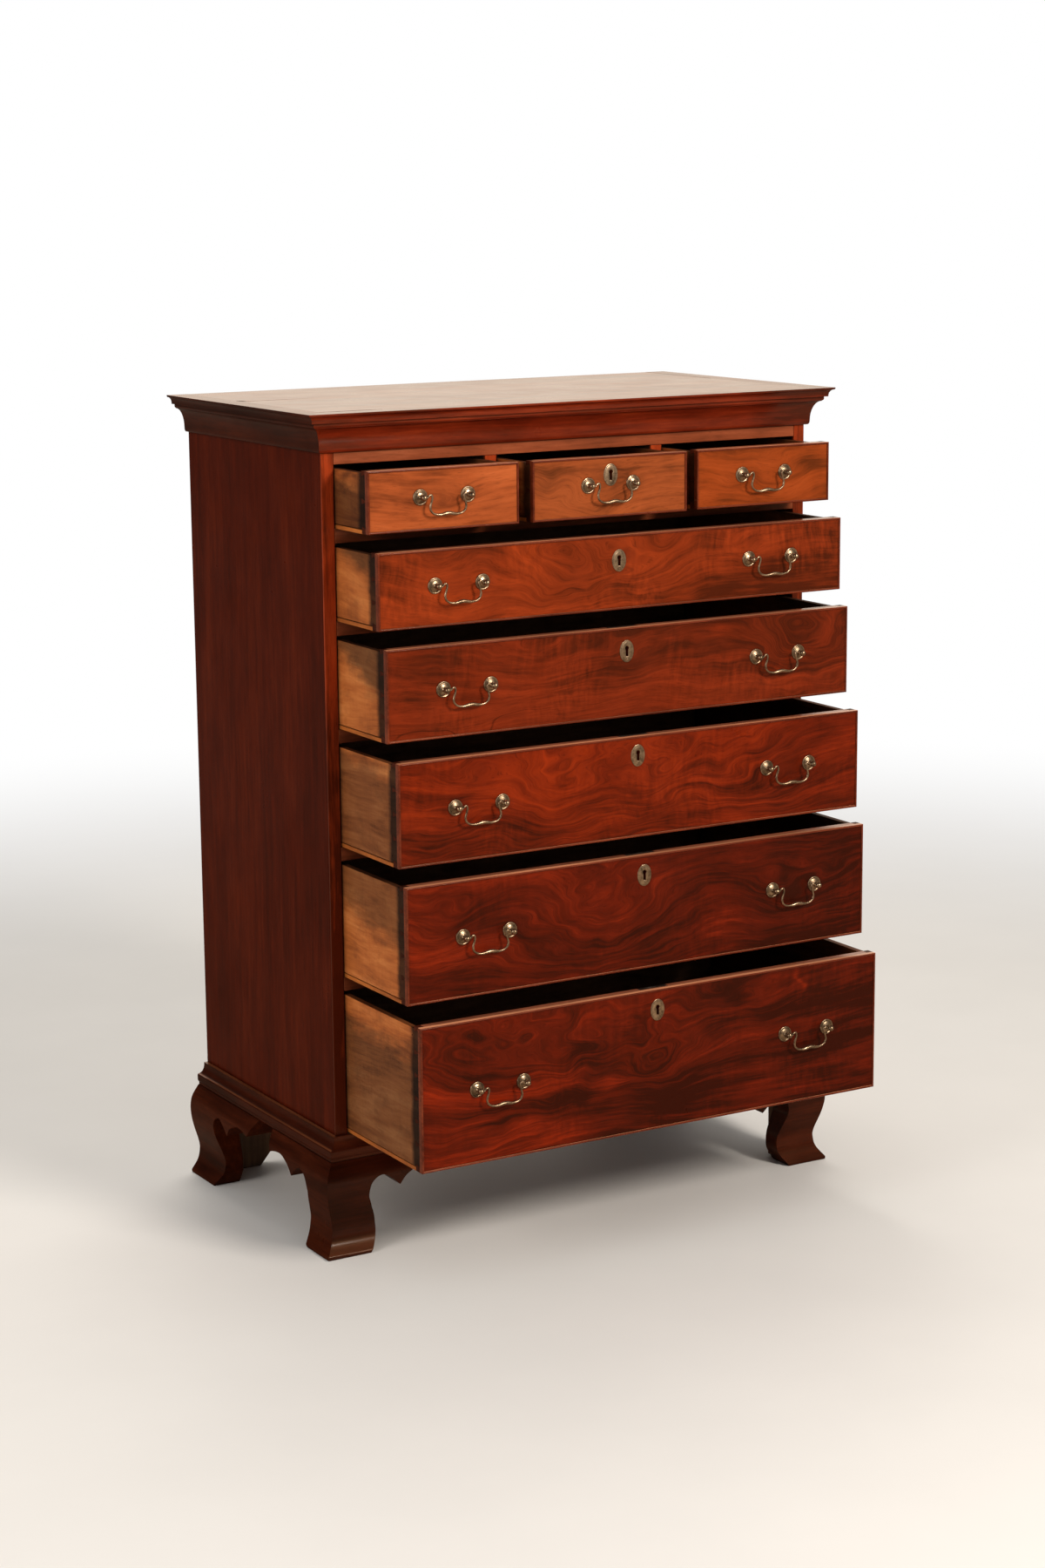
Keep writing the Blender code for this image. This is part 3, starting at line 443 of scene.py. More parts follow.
def addCamera():
    right = Vector(studio["cameraRight"]).normalized()
    forward = Vector(studio["cameraForward"])
    forward = (forward - right * forward.dot(right)).normalized()
    camera = bpy.data.objects.new("photoCamera", bpy.data.cameras.new("photoCamera"))
    camera.data.lens = studio["lens"]
    camera.data.sensor_width = studio["sensor"]
    camera.data.sensor_fit = "AUTO"
    turn = Matrix((right, right.cross(forward), -forward)).transposed()
    camera.matrix_world = Matrix.Translation(studio["cameraPlace"]) @ turn.to_4x4()
    scene.collection.objects.link(camera)
    scene.camera = camera


def addLamps():
    for name, (place, size, watts, colour) in studio["lamps"].items():
        lamp = bpy.data.lights.new(name, "AREA")
        lamp.shape, lamp.size, lamp.energy, lamp.color = "DISK", size, watts, colour
        holder = bpy.data.objects.new(name, lamp)
        holder.location = place
        aim = Vector(studio["aim"]) - holder.location
        holder.rotation_euler = aim.to_track_quat("-Z", "Y").to_euler()
        scene.collection.objects.link(holder)


def lookingRays(tree):
    # rays that mirror, and rays that the camera sends straight or through glass
    ray = addNode(tree, "ShaderNodeLightPath").outputs
    return ray["Is Glossy Ray"], maths(tree, "MAXIMUM", ray["Is Camera Ray"], ray["Is Transmission Ray"])


def paintWorld():
    # white behind the chest, dim in front of it, so that the polish keeps its colour
    world = bpy.data.worlds.new("studioWorld")
    scene.world = world
    world.use_nodes = True
    tree = world.node_tree
    tree.nodes.clear()
    glossy, seen = lookingRays(tree)
    heading = axesOf(tree, put(tree, "ShaderNodeTexCoord", output="Generated"))
    front, left = (remap(tree, heading[axis], *studio[room], 1.0)
                   for axis, room in (("Y", "roomFront"), ("X", "roomLeft")))
    strength = remap(tree, glossy, 0.0, 1.0, studio["ambient"], maths(tree, "MULTIPLY", front, left))
    strength = remap(tree, seen, 0.0, 1.0, strength, 1.0)
    tint = mixed(tree, maths(tree, "SUBTRACT", glossy, seen), white, studio["wallMirror"])
    light = put(tree, "ShaderNodeBackground", {"Color": tint, "Strength": strength})
    addNode(tree, "ShaderNodeOutputWorld", {"Surface": light})


def addFloor():
    material, tree, where = startMaterial("studioFloor")
    glossy, seen = lookingRays(tree)
    seen = maths(tree, "MAXIMUM", seen, maths(tree, "MULTIPLY", glossy, studio["floorMirrorFade"]))
    far = vectorMaths(tree, "LENGTH", where["Object"], output="Value")
    far = remap(tree, far, *studio["floorFade"], interpolation_type="SMOOTHSTEP")
    scale, detail, darkest = studio["floorMottle"]
    mottled = remap(tree, noise(tree, where["Object"], None, scale, detail), 0.3, 0.7)
    paint = mixed(tree, mottled, studio["floorColour"], tuple(darkest * c for c in studio["floorColour"]))
    paint = mixed(tree, glossy, paint, studio["floorMirror"])
    matt = put(tree, "ShaderNodeBsdfPrincipled", {"Base Color": paint, "Roughness": studio["floorRoughness"]})
    glow = mixed(tree, glossy, white, studio["wallMirror"])
    plain = put(tree, "ShaderNodeEmission", {"Color": glow, "Strength": 1.0})
    both = put(tree, "ShaderNodeMixShader", {0: maths(tree, "MULTIPLY", seen, far), 1: matt, 2: plain})
    addNode(tree, "ShaderNodeOutputMaterial", {"Surface": both})
    work = bmesh.new()
    bmesh.ops.create_circle(work, cap_ends=True, segments=96, radius=studio["floorRadius"])
    floor = toObject("studioFloor", work)
    floor.data.materials.append(material)


addCamera()
addLamps()
paintWorld()
addFloor()
print("camera, lamps, floor and world set")

# Mahogany: growth rings along the grain, bent into ovals here and there, ripples, dark pores, an old polish

mahoganyGrain = {  # stretch along and across the grain, scale, detail and roughness of each noise
    "bands": ((0.8, 12.0, 12.0), 1.6, 2.0, 0.5),
    "streaks": ((2.2, 34.0, 34.0), 1.6, 5.0, 0.62),
    "ripples": ((105.0, 4.0, 26.0), 1.0, 3.0, 0.55),
    "lines": ((5.0, 120.0, 120.0), 1.0, 4.0, 0.65),
    "fibres": ((12.0, 260.0, 260.0), 1.0, 3.0, 0.6),
    "stains": ((2.2, 11.0, 11.0), 1.7, 6.0, 0.68),
    "dashes": ((17.0, 150.0, 150.0), 1.0, 3.0, 0.6),
    "pores": ((60.0, 1200.0, 1200.0), 1.0, 1.0, 0.5),
}
mahoganyPlan = {  # a range's two ends become 0 and 1, or the two numbers that follow them
    "swirlStretch": (1.0, 2.2, 2.2),
    "cloudNoise": (2.4, 4.0, 0.6),
    "evened": (0.28, 0.72),
    "streakShare": 0.3, "fibreShare": 0.34, "softShare": 0.7,   # in the tone; the last is bands and clouds
    "stops": (0.14, 0.48, 0.88),                # tones of the dark, middle and light colours
    "rippleZones": (6.0, 1.0), "rippled": (0.46, 0.62),
    "stained": (0.55, 0.7), "dashed": (0.58, 0.72), "porous": (0.6, 0.72),
    "markStrength": 0.36,
    "markTone": 0.5, "scarTone": 0.12,          # shares of the dark colour
    # the occlusion over which the painted shade of hollows fades out, and how dark it is at most
    "hollow": (0.35, 0.95, 0.42, 1.0),
    "raggedSpots": ((1.0, 1.0, 2.0), 7.0, 0.14),    # stretch, scale and amount
    "raggedScars": ((1.0, 1.0, 1.0), 40.0, 0.006),
    "upward": (0.9, 0.99),                      # how far a face looks up before it gets the wax and the painted highlight
    "paintedHighlightStreaks": (0.35, 0.65, 0.65, 1.25), "waxPolish": 0.55,
    "handling": (9.0, 4.0, 0.6), "handled": (0.3, 0.7),
    "waveStretch": (5.0, 16.0, 16.0), "waveHeight": 0.0008,
    "poreLift": -0.5, "grainHeight": 0.00009, "grainStrength": 0.4,
    "coatRoughness": 0.14,
}
mahoganyLook = {
    "shift": (0.0, 0.0, 0.0), "swirl": 0.03, "swirlScale": 2.3, "cloud": (2.0, 5.0, 5.0),
    "bands": 0.2, "lines": 0.62, "ripple": 0.0, "stain": 0.3,
    "gloss": (0.27, 0.4), "waves": 0.5, "polish": 0.05, "shine": 0.13, "shineColour": (1.0, 0.5, 0.22),
    "grime": 0.006,
    "spots": (),    # each one's place across and up, width, height, rise and tone
    "scars": (),    # each one's place, turn, size and strength
    "waxed": (),    # painted highlight: the colour of what looks up, painted lighter as if it caught the light, where it is also better polished
}


def warp(tree, place, stretch, scale, amount):
    drift = noise(tree, place, stretch, scale, 2.0, 0.5, "Color")
    drift = vectorMaths(tree, "SUBTRACT", drift, (0.5, 0.5, 0.5))
    return vectorMaths(tree, "ADD", place, vectorMaths(tree, "MULTIPLY", drift, (amount, amount, amount)))


def bell(tree, vector, flat=False):
    # 1 in the middle and nothing far off; a flat one keeps its height further out
    away = vectorMaths(tree, "DOT_PRODUCT", vector, vector, output="Value")
    if flat:
        away = maths(tree, "POWER", away, 2.0)
    return maths(tree, "EXPONENT", maths(tree, "MULTIPLY", away, -1.0))


def swells(tree, where, spots):
    # each spot bends the growth rings round it into ovals, and darkens or brightens the wood; some of that is
    # the figure, some is painted shade
    ragged = warp(tree, where, *mahoganyPlan["raggedSpots"])
    lift, tint = 0.0, 0.0
    for across, up, wide, tall, rise, tone in spots:
        spot = mapped(tree, ragged, (1 / wide, 0.0, 1 / tall), shift=(-across / wide, 0.0, -up / tall))
        height = bell(tree, spot)
        lift = weighted(tree, height, rise, lift)
        tint = weighted(tree, height, tone, tint)
    return put(tree, "ShaderNodeCombineXYZ", {2: lift}), tint


def dirtyScars(tree, where, scars):
    # dirt along a crack or a joint
    ragged = warp(tree, where, *mahoganyPlan["raggedScars"])
    worn = 0.0
    for place, turn, size, strength in scars:
        scar = put(tree, "ShaderNodeMapping", {"Vector": ragged, "Location": place, "Scale": size,
                                               "Rotation": (0.0, 0.0, turn)}, vector_type="TEXTURE")
        worn = maths(tree, "MAXIMUM", worn, maths(tree, "MULTIPLY", bell(tree, scar, True), strength))
    return worn


def mahogany(name, along, colours, slot="case_wood", **changes):
    look, plan = {**mahoganyLook, **changes}, mahoganyPlan
    material, tree, where = startMaterial(name)
    facing, where = where["Normal"], where["Object"]
    place = mapped(tree, where, turn=turnTo[along], shift=look["shift"])
    line = warp(tree, place, plan["swirlStretch"], look["swirlScale"], look["swirl"])
    tone = 0.0
    if look["spots"]:
        lift, tone = swells(tree, where, look["spots"])
        line = vectorMaths(tree, "ADD", line, lift)
    grain = {layer: noise(tree, line, *numbers) for layer, numbers in mahoganyGrain.items()}
    grain["clouds"] = noise(tree, line, look["cloud"], *plan["cloudNoise"])

    for layer, share in (("bands", look["bands"]), ("streaks", plan["streakShare"]),
                         ("clouds", plan["softShare"] - look["bands"])):
        tone = weighted(tree, remap(tree, grain[layer], *plan["evened"]), share, tone)
    zones = noise(tree, place, None, *plan["rippleZones"])
    rippled = remap(tree, zones, *plan["rippled"], 0.0, look["ripple"])
    for layer, share in (("ripples", rippled), ("lines", look["lines"]), ("fibres", plan["fibreShare"])):
        tone = swung(tree, grain[layer], share, tone)
    colour = ramp(tree, tone, plan["stops"], colours)
    stain = maths(tree, "MULTIPLY", remap(tree, grain["stains"], *plan["stained"]), look["stain"])
    colour = mixed(tree, stain, colour, colours[0])
    pores = remap(tree, grain["pores"], *plan["porous"])
    marks = maths(tree, "MAXIMUM", remap(tree, grain["dashes"], *plan["dashed"]), pores)
    colour = mixed(tree, maths(tree, "MULTIPLY", marks, plan["markStrength"]), colour,
                   tuple(plan["markTone"] * c for c in colours[0]))
    # painted shade: the wood is darkened where ambient occlusion finds hollows, corners and joints
    colour = tinted(tree, colour, remap(tree, grime(tree, look["grime"]), *plan["hollow"]))

    polish, worn = look["polish"], 0.0
    if look["scars"]:
        worn = dirtyScars(tree, where, look["scars"])
        colour = mixed(tree, worn, colour, tuple(plan["scarTone"] * c for c in colours[0]))
        polish = weighted(tree, worn, -polish, polish)
    if look["waxed"]:
        # painted highlight: faces that look up take a lighter, streaked colour, as if lit from above; the wax
        # also polishes them better
        upward = remap(tree, axesOf(tree, facing)["Z"], *plan["upward"])
        streaked = tinted(tree, look["waxed"], remap(tree, grain["streaks"], *plan["paintedHighlightStreaks"]))
        colour = mixed(tree, upward, colour, streaked)
        polish = weighted(tree, upward, plan["waxPolish"] - polish, polish)
    rough = remap(tree, noise(tree, place, None, *plan["handling"]), *plan["handled"], *look["gloss"])
    waves = noise(tree, place, plan["waveStretch"], 1.0, 2.0)
    waves = bump(tree, waves, plan["waveHeight"], look["waves"])
    height = weighted(tree, pores, plan["poreLift"], grain["fibres"])
    endMaterial(tree, {
        "Base Color": colour, "Roughness": maths(tree, "MAXIMUM", rough, worn),
        "Normal": bump(tree, height, plan["grainHeight"], plan["grainStrength"], waves),
        "Coat Weight": polish, "Coat Roughness": plan["coatRoughness"],
        "Specular IOR Level": look["shine"], "Specular Tint": (*look["shineColour"], 1.0)})
    return material


# the side boards are far darker than the stiles in front of them: partly the wood's own colour, partly
# painted shade, as the sides lie away from the light
sideWood = mahogany(
    "mahoganySide", "Z", ((0.038, 0.0034, 0.0007), (0.064, 0.0056, 0.001), (0.105, 0.011, 0.0019)),
    shift=(0.4, 0.1, 0.0), shine=0.05, polish=0.0, stain=0.15, bands=0.3)
# painted shade: the stiles grow darker towards the bottom, and the right-hand stile darker again between the
# drawers, where the drawers' shadow falls
stileWood = mahogany(
    "mahoganyStile", "Z", ((0.072, 0.0098, 0.003), (0.33, 0.038, 0.008), (0.48, 0.062, 0.013)),
    spots=((0.0, 0.45, 4.0, 0.55, 0.0, -0.5), (0.475, 0.95, 0.05, 0.3, 0.0, -0.3)))
# painted shade: the rails grow darker towards the bottom, where the drawers' shadow falls; the top rail is
# also darker at its right-hand end
railWood = mahogany(
    "mahoganyRail", "X", ((0.13, 0.027, 0.01), (0.29, 0.062, 0.022), (0.46, 0.115, 0.044)),
    shine=0.3, polish=0.2,
    spots=((0.47, 1.38, 0.22, 1.0, 0.0, -0.18), (0.0, 0.45, 4.0, 0.6, 0.0, -0.4)))
# what looks up on the cornice carries a painted highlight
corniceWood = mahogany(
    "mahoganyCornice", "X", ((0.055, 0.005, 0.0014), (0.17, 0.0145, 0.0034), (0.32, 0.037, 0.008)),
    shine=0.4, polish=0.28, waxed=(0.2, 0.06, 0.022), bands=0.3, lines=0.8,
    spots=((-0.5, 1.4, 0.13, 1.0, 0.0, -0.2), (0.0, 1.4, 0.3, 1.0, 0.0, 0.07),
           (0.5, 1.4, 0.16, 1.0, 0.0, -0.32)))
# the returns of the cornice and base along the sides are far darker than their fronts, partly painted shade
# like the side boards; what looks up on them carries a painted highlight
runWood = mahogany(
    "mahoganyRun", "Y", ((0.018, 0.0026, 0.0008), (0.037, 0.0052, 0.0014), (0.066, 0.01, 0.0026)),
    shine=0.08, polish=0.0, waxed=(0.2, 0.06, 0.022))
footSideWood = mahogany(
    "mahoganyFootSide", "Y",
    ((0.018, 0.0028, 0.0009), (0.04, 0.0064, 0.0018), (0.078, 0.0135, 0.0035)),
    shine=0.06, polish=0.0, stain=0.4)
topWood = mahogany(
    "mahoganyTop", "X", ((0.09, 0.022, 0.008), (0.21, 0.06, 0.022), (0.32, 0.105, 0.042)),
    swirl=0.05, gloss=(0.24, 0.38), polish=0.51, shine=0.45, shineColour=(1.0, 0.8, 0.62), waves=0.3,
    stain=0.14, cloud=(0.5, 9.0, 9.0), bands=0.3,
    scars=(((-0.478, 0.193, 0.0), -1.19, (0.018, 0.006, 1000.0), 0.95),
           ((-0.405, 0.179, 0.0), -0.02, (0.085, 0.0045, 1000.0), 0.9),
           ((-0.27, 0.178, 0.0), 0.0, (0.11, 0.003, 1000.0), 0.5),
           ((-0.43, -0.1165, 0.0), 0.02, (0.062, 0.004, 1000.0), 0.85)))
# the bead's top carries a painted highlight
beadWood = mahogany(
    "mahoganyBead", "X", ((0.06, 0.009, 0.003), (0.13, 0.02, 0.007), (0.21, 0.038, 0.013)),
    "front_wood", gloss=(0.2, 0.3), polish=0.25, shine=0.25, shineColour=(1.0, 0.6, 0.42),
    waves=0.15, grime=0.0025, waxed=(0.7, 0.28, 0.135))
footWood = mahogany(
    "mahoganyFoot", "X", ((0.014, 0.0021, 0.0008), (0.034, 0.0048, 0.0015), (0.068, 0.01, 0.0028)),
    swirl=0.04, shine=0.2, polish=0.18, stain=0.4)
baseWood = mahogany(
    "mahoganyBase", "X", ((0.027, 0.0044, 0.0017), (0.064, 0.0105, 0.0038), (0.115, 0.021, 0.007)),
    shine=0.2, polish=0.1)
endWood = mahogany(
    "mahoganyEnd", "Z", ((0.018, 0.004, 0.002), (0.05, 0.009, 0.004), (0.1, 0.018, 0.007)),
    "front_wood", gloss=(0.4, 0.55), polish=0.0)

# Softwood: plain-sawn, golden where it shows, smeared grey-brown with dirt and handling; on a drawer's side a
# painted shadow beyond a wandering line, a darker front end, and painted shade on the inner face

softwoodGrain = {
    "streaks": ((3.0, 45.0, 45.0), 1.3, 5.0, 0.65),
    "clouds": ((4.0, 9.0, 9.0), 1.4, 4.0, 0.62),
    "fibres": ((20.0, 420.0, 420.0), 1.0, 3.0, 0.6),
}
softwoodPlan = {
    "swirl": ((1.2, 4.0, 4.0), 2.2, 0.07),
    "sawMarks": ((240.0, 9.0, 9.0), 1.0, 2.0, 0.6), "sawTurn": (0.0, 0.0, 0.2),
    "evened": (0.27, 0.73),
    "cloudShare": 0.42, "streakShare": 0.48, "fibreShare": 0.3, "fibreMiddle": 0.4,
    "stops": (0.15, 0.5, 0.88),
    "wander": ((1.0, 1.0, 3.0), 13.0, 5.0, 0.62), "lineWander": 0.09, "endWander": 0.016,
    "lineBlur": (-0.014, 0.022),        # how far the painted shadow fades on each side of its line
    "knotStretch": (3.4, 9.0, 9.0), "knotted": (0.12, 0.03), "knotTone": 0.45,
    "smearNoise": ((1.0, 1.0, 1.6), 15.0, 6.0, 0.72), "smeared": (0.5, 0.68),
    "smearColour": (0.42, 0.38, 0.36),
    "endFade": (-0.002, 0.01), "endTone": 0.14,
    # how the painted shade on a side's inner face fades in from the outer face, and its tint
    "outward": (0.02, 0.06), "inner": (0.3, 0.28, 0.26),
    # the reach of the painted shade in hollows, and the occlusion over which it fades out
    "grime": 0.012, "hollow": (0.3, 0.95, 0.4, 1.0),
    "roughness": (0.3, 0.7, 0.55, 0.75), "shine": 0.2,
    "streakHeight": 0.6, "sawHeight": 0.5, "grainHeight": 0.0003, "grainStrength": 0.7,
}
softwoodLook = {"shift": (0.0, 0.0, 0.0), "sawn": 0.12, "knots": 0.5, "smears": 0.5}


def softwood(name, along, colours, slot="drawer_wood", **changes):
    look, plan = {**softwoodLook, **changes}, softwoodPlan
    material, tree, where = startMaterial(name)
    facing, where = where["Normal"], where["Object"]
    place = mapped(tree, where, turn=turnTo[along], shift=look["shift"])
    line = warp(tree, place, *plan["swirl"])
    grain = {layer: noise(tree, line, *numbers) for layer, numbers in softwoodGrain.items()}
    sawn = noise(tree, place, *plan["sawMarks"], turn=plan["sawTurn"])
    tone = maths(tree, "MULTIPLY", remap(tree, grain["clouds"], *plan["evened"]), plan["cloudShare"])
    tone = weighted(tree, remap(tree, grain["streaks"], *plan["evened"]), plan["streakShare"], tone)
    tone = swung(tree, grain["fibres"], plan["fibreShare"], tone, plan["fibreMiddle"])
    colour = ramp(tree, swung(tree, sawn, look["sawn"], tone), plan["stops"], colours)
    axes = axesOf(tree, where)
    if "line" in look:  # a drawer's side, with a painted shadow: greyer and darker on one side of a wandering line
        level, slope, start, side = look["line"]
        wander = noise(tree, where, *plan["wander"], shift=look["shift"])
        edge = weighted(tree, maths(tree, "SUBTRACT", axes["Y"], start), slope, level)
        edge = swung(tree, wander, plan["lineWander"], edge)
        beyond = maths(tree, "MULTIPLY", maths(tree, "SUBTRACT", axes["Z"], edge), side)
        beyond = remap(tree, beyond, *plan["lineBlur"])
        # painted shadow: beyond the line the colour is greyed and darkened
        colour = mixed(tree, beyond, colour, filtered(tree, colour, look["paintedShadowTint"]))
    knots = mapped(tree, line, plan["knotStretch"])
    knots = put(tree, "ShaderNodeTexVoronoi", {"Vector": knots, "Scale": 1.0}, "Distance")
    knots = maths(tree, "MULTIPLY", remap(tree, knots, *plan["knotted"]), look["knots"])
    colour = mixed(tree, knots, colour, tuple(plan["knotTone"] * c for c in colours[0]))
    smears = noise(tree, where, *plan["smearNoise"], shift=look["shift"])
    smears = remap(tree, smears, *plan["smeared"], 0.0, look["smears"])
    colour = mixed(tree, smears, colour, filtered(tree, colour, plan["smearColour"]))
    if "line" in look:  # its front end is darker, and its inner face carries painted shade
        end = swung(tree, wander, plan["endWander"], axes["Y"])
        near, far = (look["end"] + fade for fade in plan["endFade"])
        colour = tinted(tree, colour, remap(tree, end, near, far, plan["endTone"], 1.0))
        # painted shade: the inner face is darkened against the outer face of the same board
        outward = maths(tree, "SUBTRACT", axes["X"], look["middle"])
        outward = maths(tree, "MULTIPLY", axesOf(tree, facing)["X"], outward)
        outward = remap(tree, outward, *plan["outward"])
        colour = mixed(tree, outward, filtered(tree, colour, plan["inner"]), colour)
    # painted shade: the wood is darkened where ambient occlusion finds hollows and corners
    colour = tinted(tree, colour, remap(tree, grime(tree, plan["grime"]), *plan["hollow"]))
    height = weighted(tree, sawn, plan["sawHeight"], grain["fibres"])
    height = weighted(tree, grain["streaks"], plan["streakHeight"], height)
    endMaterial(tree, {"Base Color": colour, "Roughness": remap(tree, grain["clouds"], *plan["roughness"]),
                       "Normal": bump(tree, height, plan["grainHeight"], plan["grainStrength"]),
                       "Specular IOR Level": plan["shine"]})
    return material


dustWood = softwood(
    "dustBoardWood", "X", ((0.05, 0.02, 0.009), (0.12, 0.05, 0.023), (0.2, 0.095, 0.045)), "case_wood")
backWood = softwood(
    "backBoardWood", "X", ((0.075, 0.036, 0.017), (0.16, 0.085, 0.042), (0.26, 0.15, 0.08)),
    shift=(0.3, 0.0, 0.2))
insideWood = softwood(
    "drawerInsideWood", "X", ((0.06, 0.026, 0.012), (0.14, 0.066, 0.032), (0.23, 0.12, 0.06)))
runnerWood = softwood(
    "runnerWood", "Y", ((0.19, 0.046, 0.008), (0.44, 0.12, 0.018), (0.6, 0.19, 0.034)),
    knots=0.2, smears=0.35)
blockWood = softwood(
    "blockWood", "Z", ((0.04, 0.018, 0.008), (0.095, 0.045, 0.02), (0.17, 0.085, 0.04)), "case_wood")

# Metal: bright where it is rubbed, dull and dark in the hollows

metalPlan = {
    "blotchNoise": (5.0, 0.65), "speckNoise": (3.0, 0.6), "speckScale": 6.0,
    "blotchShare": 0.75, "speckShare": 0.35,
    "stops": (0.36, 0.55, 0.74),
    "hollow": (0.45, 0.96), "hollowRoughness": 0.62, "dulled": 0.6, "pitStrength": 0.5,
}


def metal(name, look):
    plan = metalPlan
    material, tree, where = startMaterial(name)
    blotches = noise(tree, where["Object"], None, look["blotches"], *plan["blotchNoise"])
    specks = noise(tree, where["Object"], None, look["blotches"] * plan["speckScale"], *plan["speckNoise"])
    tone = weighted(tree, specks, plan["speckShare"], maths(tree, "MULTIPLY", blotches, plan["blotchShare"]))
    hollow = remap(tree, grime(tree, look["grime"]), *plan["hollow"])
    colour = mixed(tree, hollow, look["colours"][0], ramp(tree, tone, plan["stops"], look["colours"]))
    smooth, rough = look["gloss"]
    rough = remap(tree, tone, plan["stops"][0], plan["stops"][-1], rough, smooth)
    rough = maths(tree, "MAXIMUM", rough, remap(tree, hollow, 0.0, 1.0, plan["hollowRoughness"], 0.0))
    endMaterial(tree, {"Base Color": colour, "Roughness": rough,
                       "Metallic": remap(tree, hollow, 0.0, plan["dulled"], look["dullMetal"], 1.0),
                       "Normal": bump(tree, tone, look["pits"], plan["pitStrength"])})
    return material


agedBrass = metal("agedBrass", {
    "blotches": 90.0, "grime": 0.0035, "dullMetal": 0.55, "pits": 0.00015, "gloss": (0.26, 0.48),
    "colours": ((0.06, 0.042, 0.025), (0.33, 0.225, 0.138), (0.66, 0.48, 0.31))})
lockIron = metal("lockIron", {
    "blotches": 60.0, "grime": 0.004, "dullMetal": 0.7, "pits": 0.0003, "gloss": (0.42, 0.62),
    "colours": ((0.035, 0.022, 0.015), (0.085, 0.068, 0.055), (0.17, 0.155, 0.14))})
nailIron = metal("nailIron", {
    "blotches": 120.0, "grime": 0.002, "dullMetal": 0.4, "pits": 0.0003, "gloss": (0.5, 0.7),
    "colours": ((0.02, 0.012, 0.008), (0.05, 0.03, 0.02), (0.09, 0.065, 0.05))})
print("woods and metals mixed")

# Case

case = {
    "gap": 0.0003,              # between pieces
    "overrun": 0.01,            # how far a cutter reaches past what it cuts
    "facing": 0.005,            # mahogany on the front edges of sides, rails and dividers
    "sideThickness": 0.022,
    "edge": 0.0006, "facingEdge": 0.0009, "dividerEdge": 0.0008, "railEdge": 0.0005, "topEdge": 0.0002,
    "dadoSetBack": 0.012, "tenonSetBack": 0.0125,
    "railDepth": 0.062, "topRailDepth": 0.022, "bottomRailDepth": 0.075, "baseRailDepth": 0.06,
    "panelSink": 0.0005,        # of the dust boards' panels below their rails, on both faces
    "upperPanel": (0.001, 0.013),
    "bottomLevel": 0.02,        # where the bottom board starts over the sides' lower ends
    "boltPocket": ((-0.0104, 0.01435), (0.0104, 0.01815), 0.0065),
    "topSeam": 0.178, "seamStep": 0.0002,       # where the two boards of the top meet
    "crackDepth": 0.006,
    "crack": ((-0.484, 0.1985), (-0.479, 0.185), (-0.4735, 0.176), (-0.46, 0.1755), (-0.42, 0.1762),
              (-0.36, 0.1769), (-0.3, 0.1776), (-0.3, 0.1784), (-0.36, 0.1797), (-0.42, 0.1814),
              (-0.46, 0.183), (-0.47, 0.186), (-0.4765, 0.198), (-0.484, 0.2095)),
    "rimCrack": ((-0.484, -0.121), (-0.32, -0.121), (-0.32, -0.119), (-0.38, -0.1165), (-0.44, -0.1152),
                 (-0.484, -0.1142)),
    "backPlanks": 6, "backThickness": 0.0115, "backJoint": 0.0014, "backUneven": 0.0004, "backEdge": 0.0013,
    "backNail": (0.0032, 0.0007), "nailInset": 0.009, "nailSink": 0.0004, "nailHeights": (0.18, 0.82),
}
topLow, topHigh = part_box("top_board")
sideLow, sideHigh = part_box("side_left")
gap, overrun = case["gap"], case["overrun"]
caseHalf, caseFront, caseBack = topHigh.x, topLow.y, topHigh.y
innerHalf = -sideLow.x - case["sideThickness"]
near = innerHalf - gap
faced = caseFront + case["facing"]
bottomLevel = sideLow.z + case["bottomLevel"]
backwards = (0.0, 0.0, math.pi)


def makeSides():
    cuts = []
    for board in ["bottom_board"] + [f"dust_board_{i}" for i in range(1, 6)]:
        low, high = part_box(board)
        cuts.append(((low.x - gap, caseFront + case["dadoSetBack"], max(low.z, bottomLevel) - gap),
                     (-innerHalf + overrun, caseBack + overrun, high.z + gap)))
    low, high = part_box("back_board")
    cuts.append(((low.x - gap, low.y - gap, sideLow.z - overrun),
                 (-innerHalf + overrun, caseBack + overrun, high.z + 2 * overrun)))
    left = toObject("side_board_left", boxes([((-caseHalf, faced + gap / 2, sideLow.z),
                                               (-innerHalf, caseBack, sideHigh.z))]))
    carve(left, boxes(cuts))
    stile = toObject("stile_left", boxes([((-caseHalf, caseFront, sideLow.z),
                                           (-innerHalf, faced, sideHigh.z))]))
    for item, wood, edge in ((left, sideWood, case["edge"]), (stile, stileWood, case["facingEdge"])):
        for twin, hand in bothHands(item):
            finishPiece(twin, "case", wood, f"side_{hand}", edge)


def makeTop():
    seam = case["topSeam"]
    top = toObject("top_boards", boxes([
        ((-caseHalf, caseFront, topLow.z), (caseHalf, seam - gap, topHigh.z)),
        ((-caseHalf, seam, topLow.z), (caseHalf, caseBack, topHigh.z - case["seamStep"]))]))
    cutter = bmesh.new()
    for name in ("crack", "rimCrack"):
        addPrism(cutter, case[name], topHigh.z - case["crackDepth"], topHigh.z + overrun, "Z")
    finishPiece(carve(top, cutter), "case", topWood, "top_board", case["topEdge"])


def makeRail(name, node, rear, middle=0.0, more=()):
    # a board faced with mahogany, with the pocket that the bolt below it rises into
    low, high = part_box(node)
    boardPiece(name + "_facing", [((-near, caseFront, low.z), (near, faced, high.z))], "case", railWood, node,
               case["facingEdge"])
    (left, front), (right, back), depth = case["boltPocket"]
    pocket = ((middle + left, caseFront + front, low.z - overrun),
              (middle + right, caseFront + back, low.z + depth))
    boardPiece(name + "_board", [((-near, faced + gap / 2, low.z), (near, rear, high.z)), *more], "case",
               dustWood, node, case["railEdge"], [pocket])


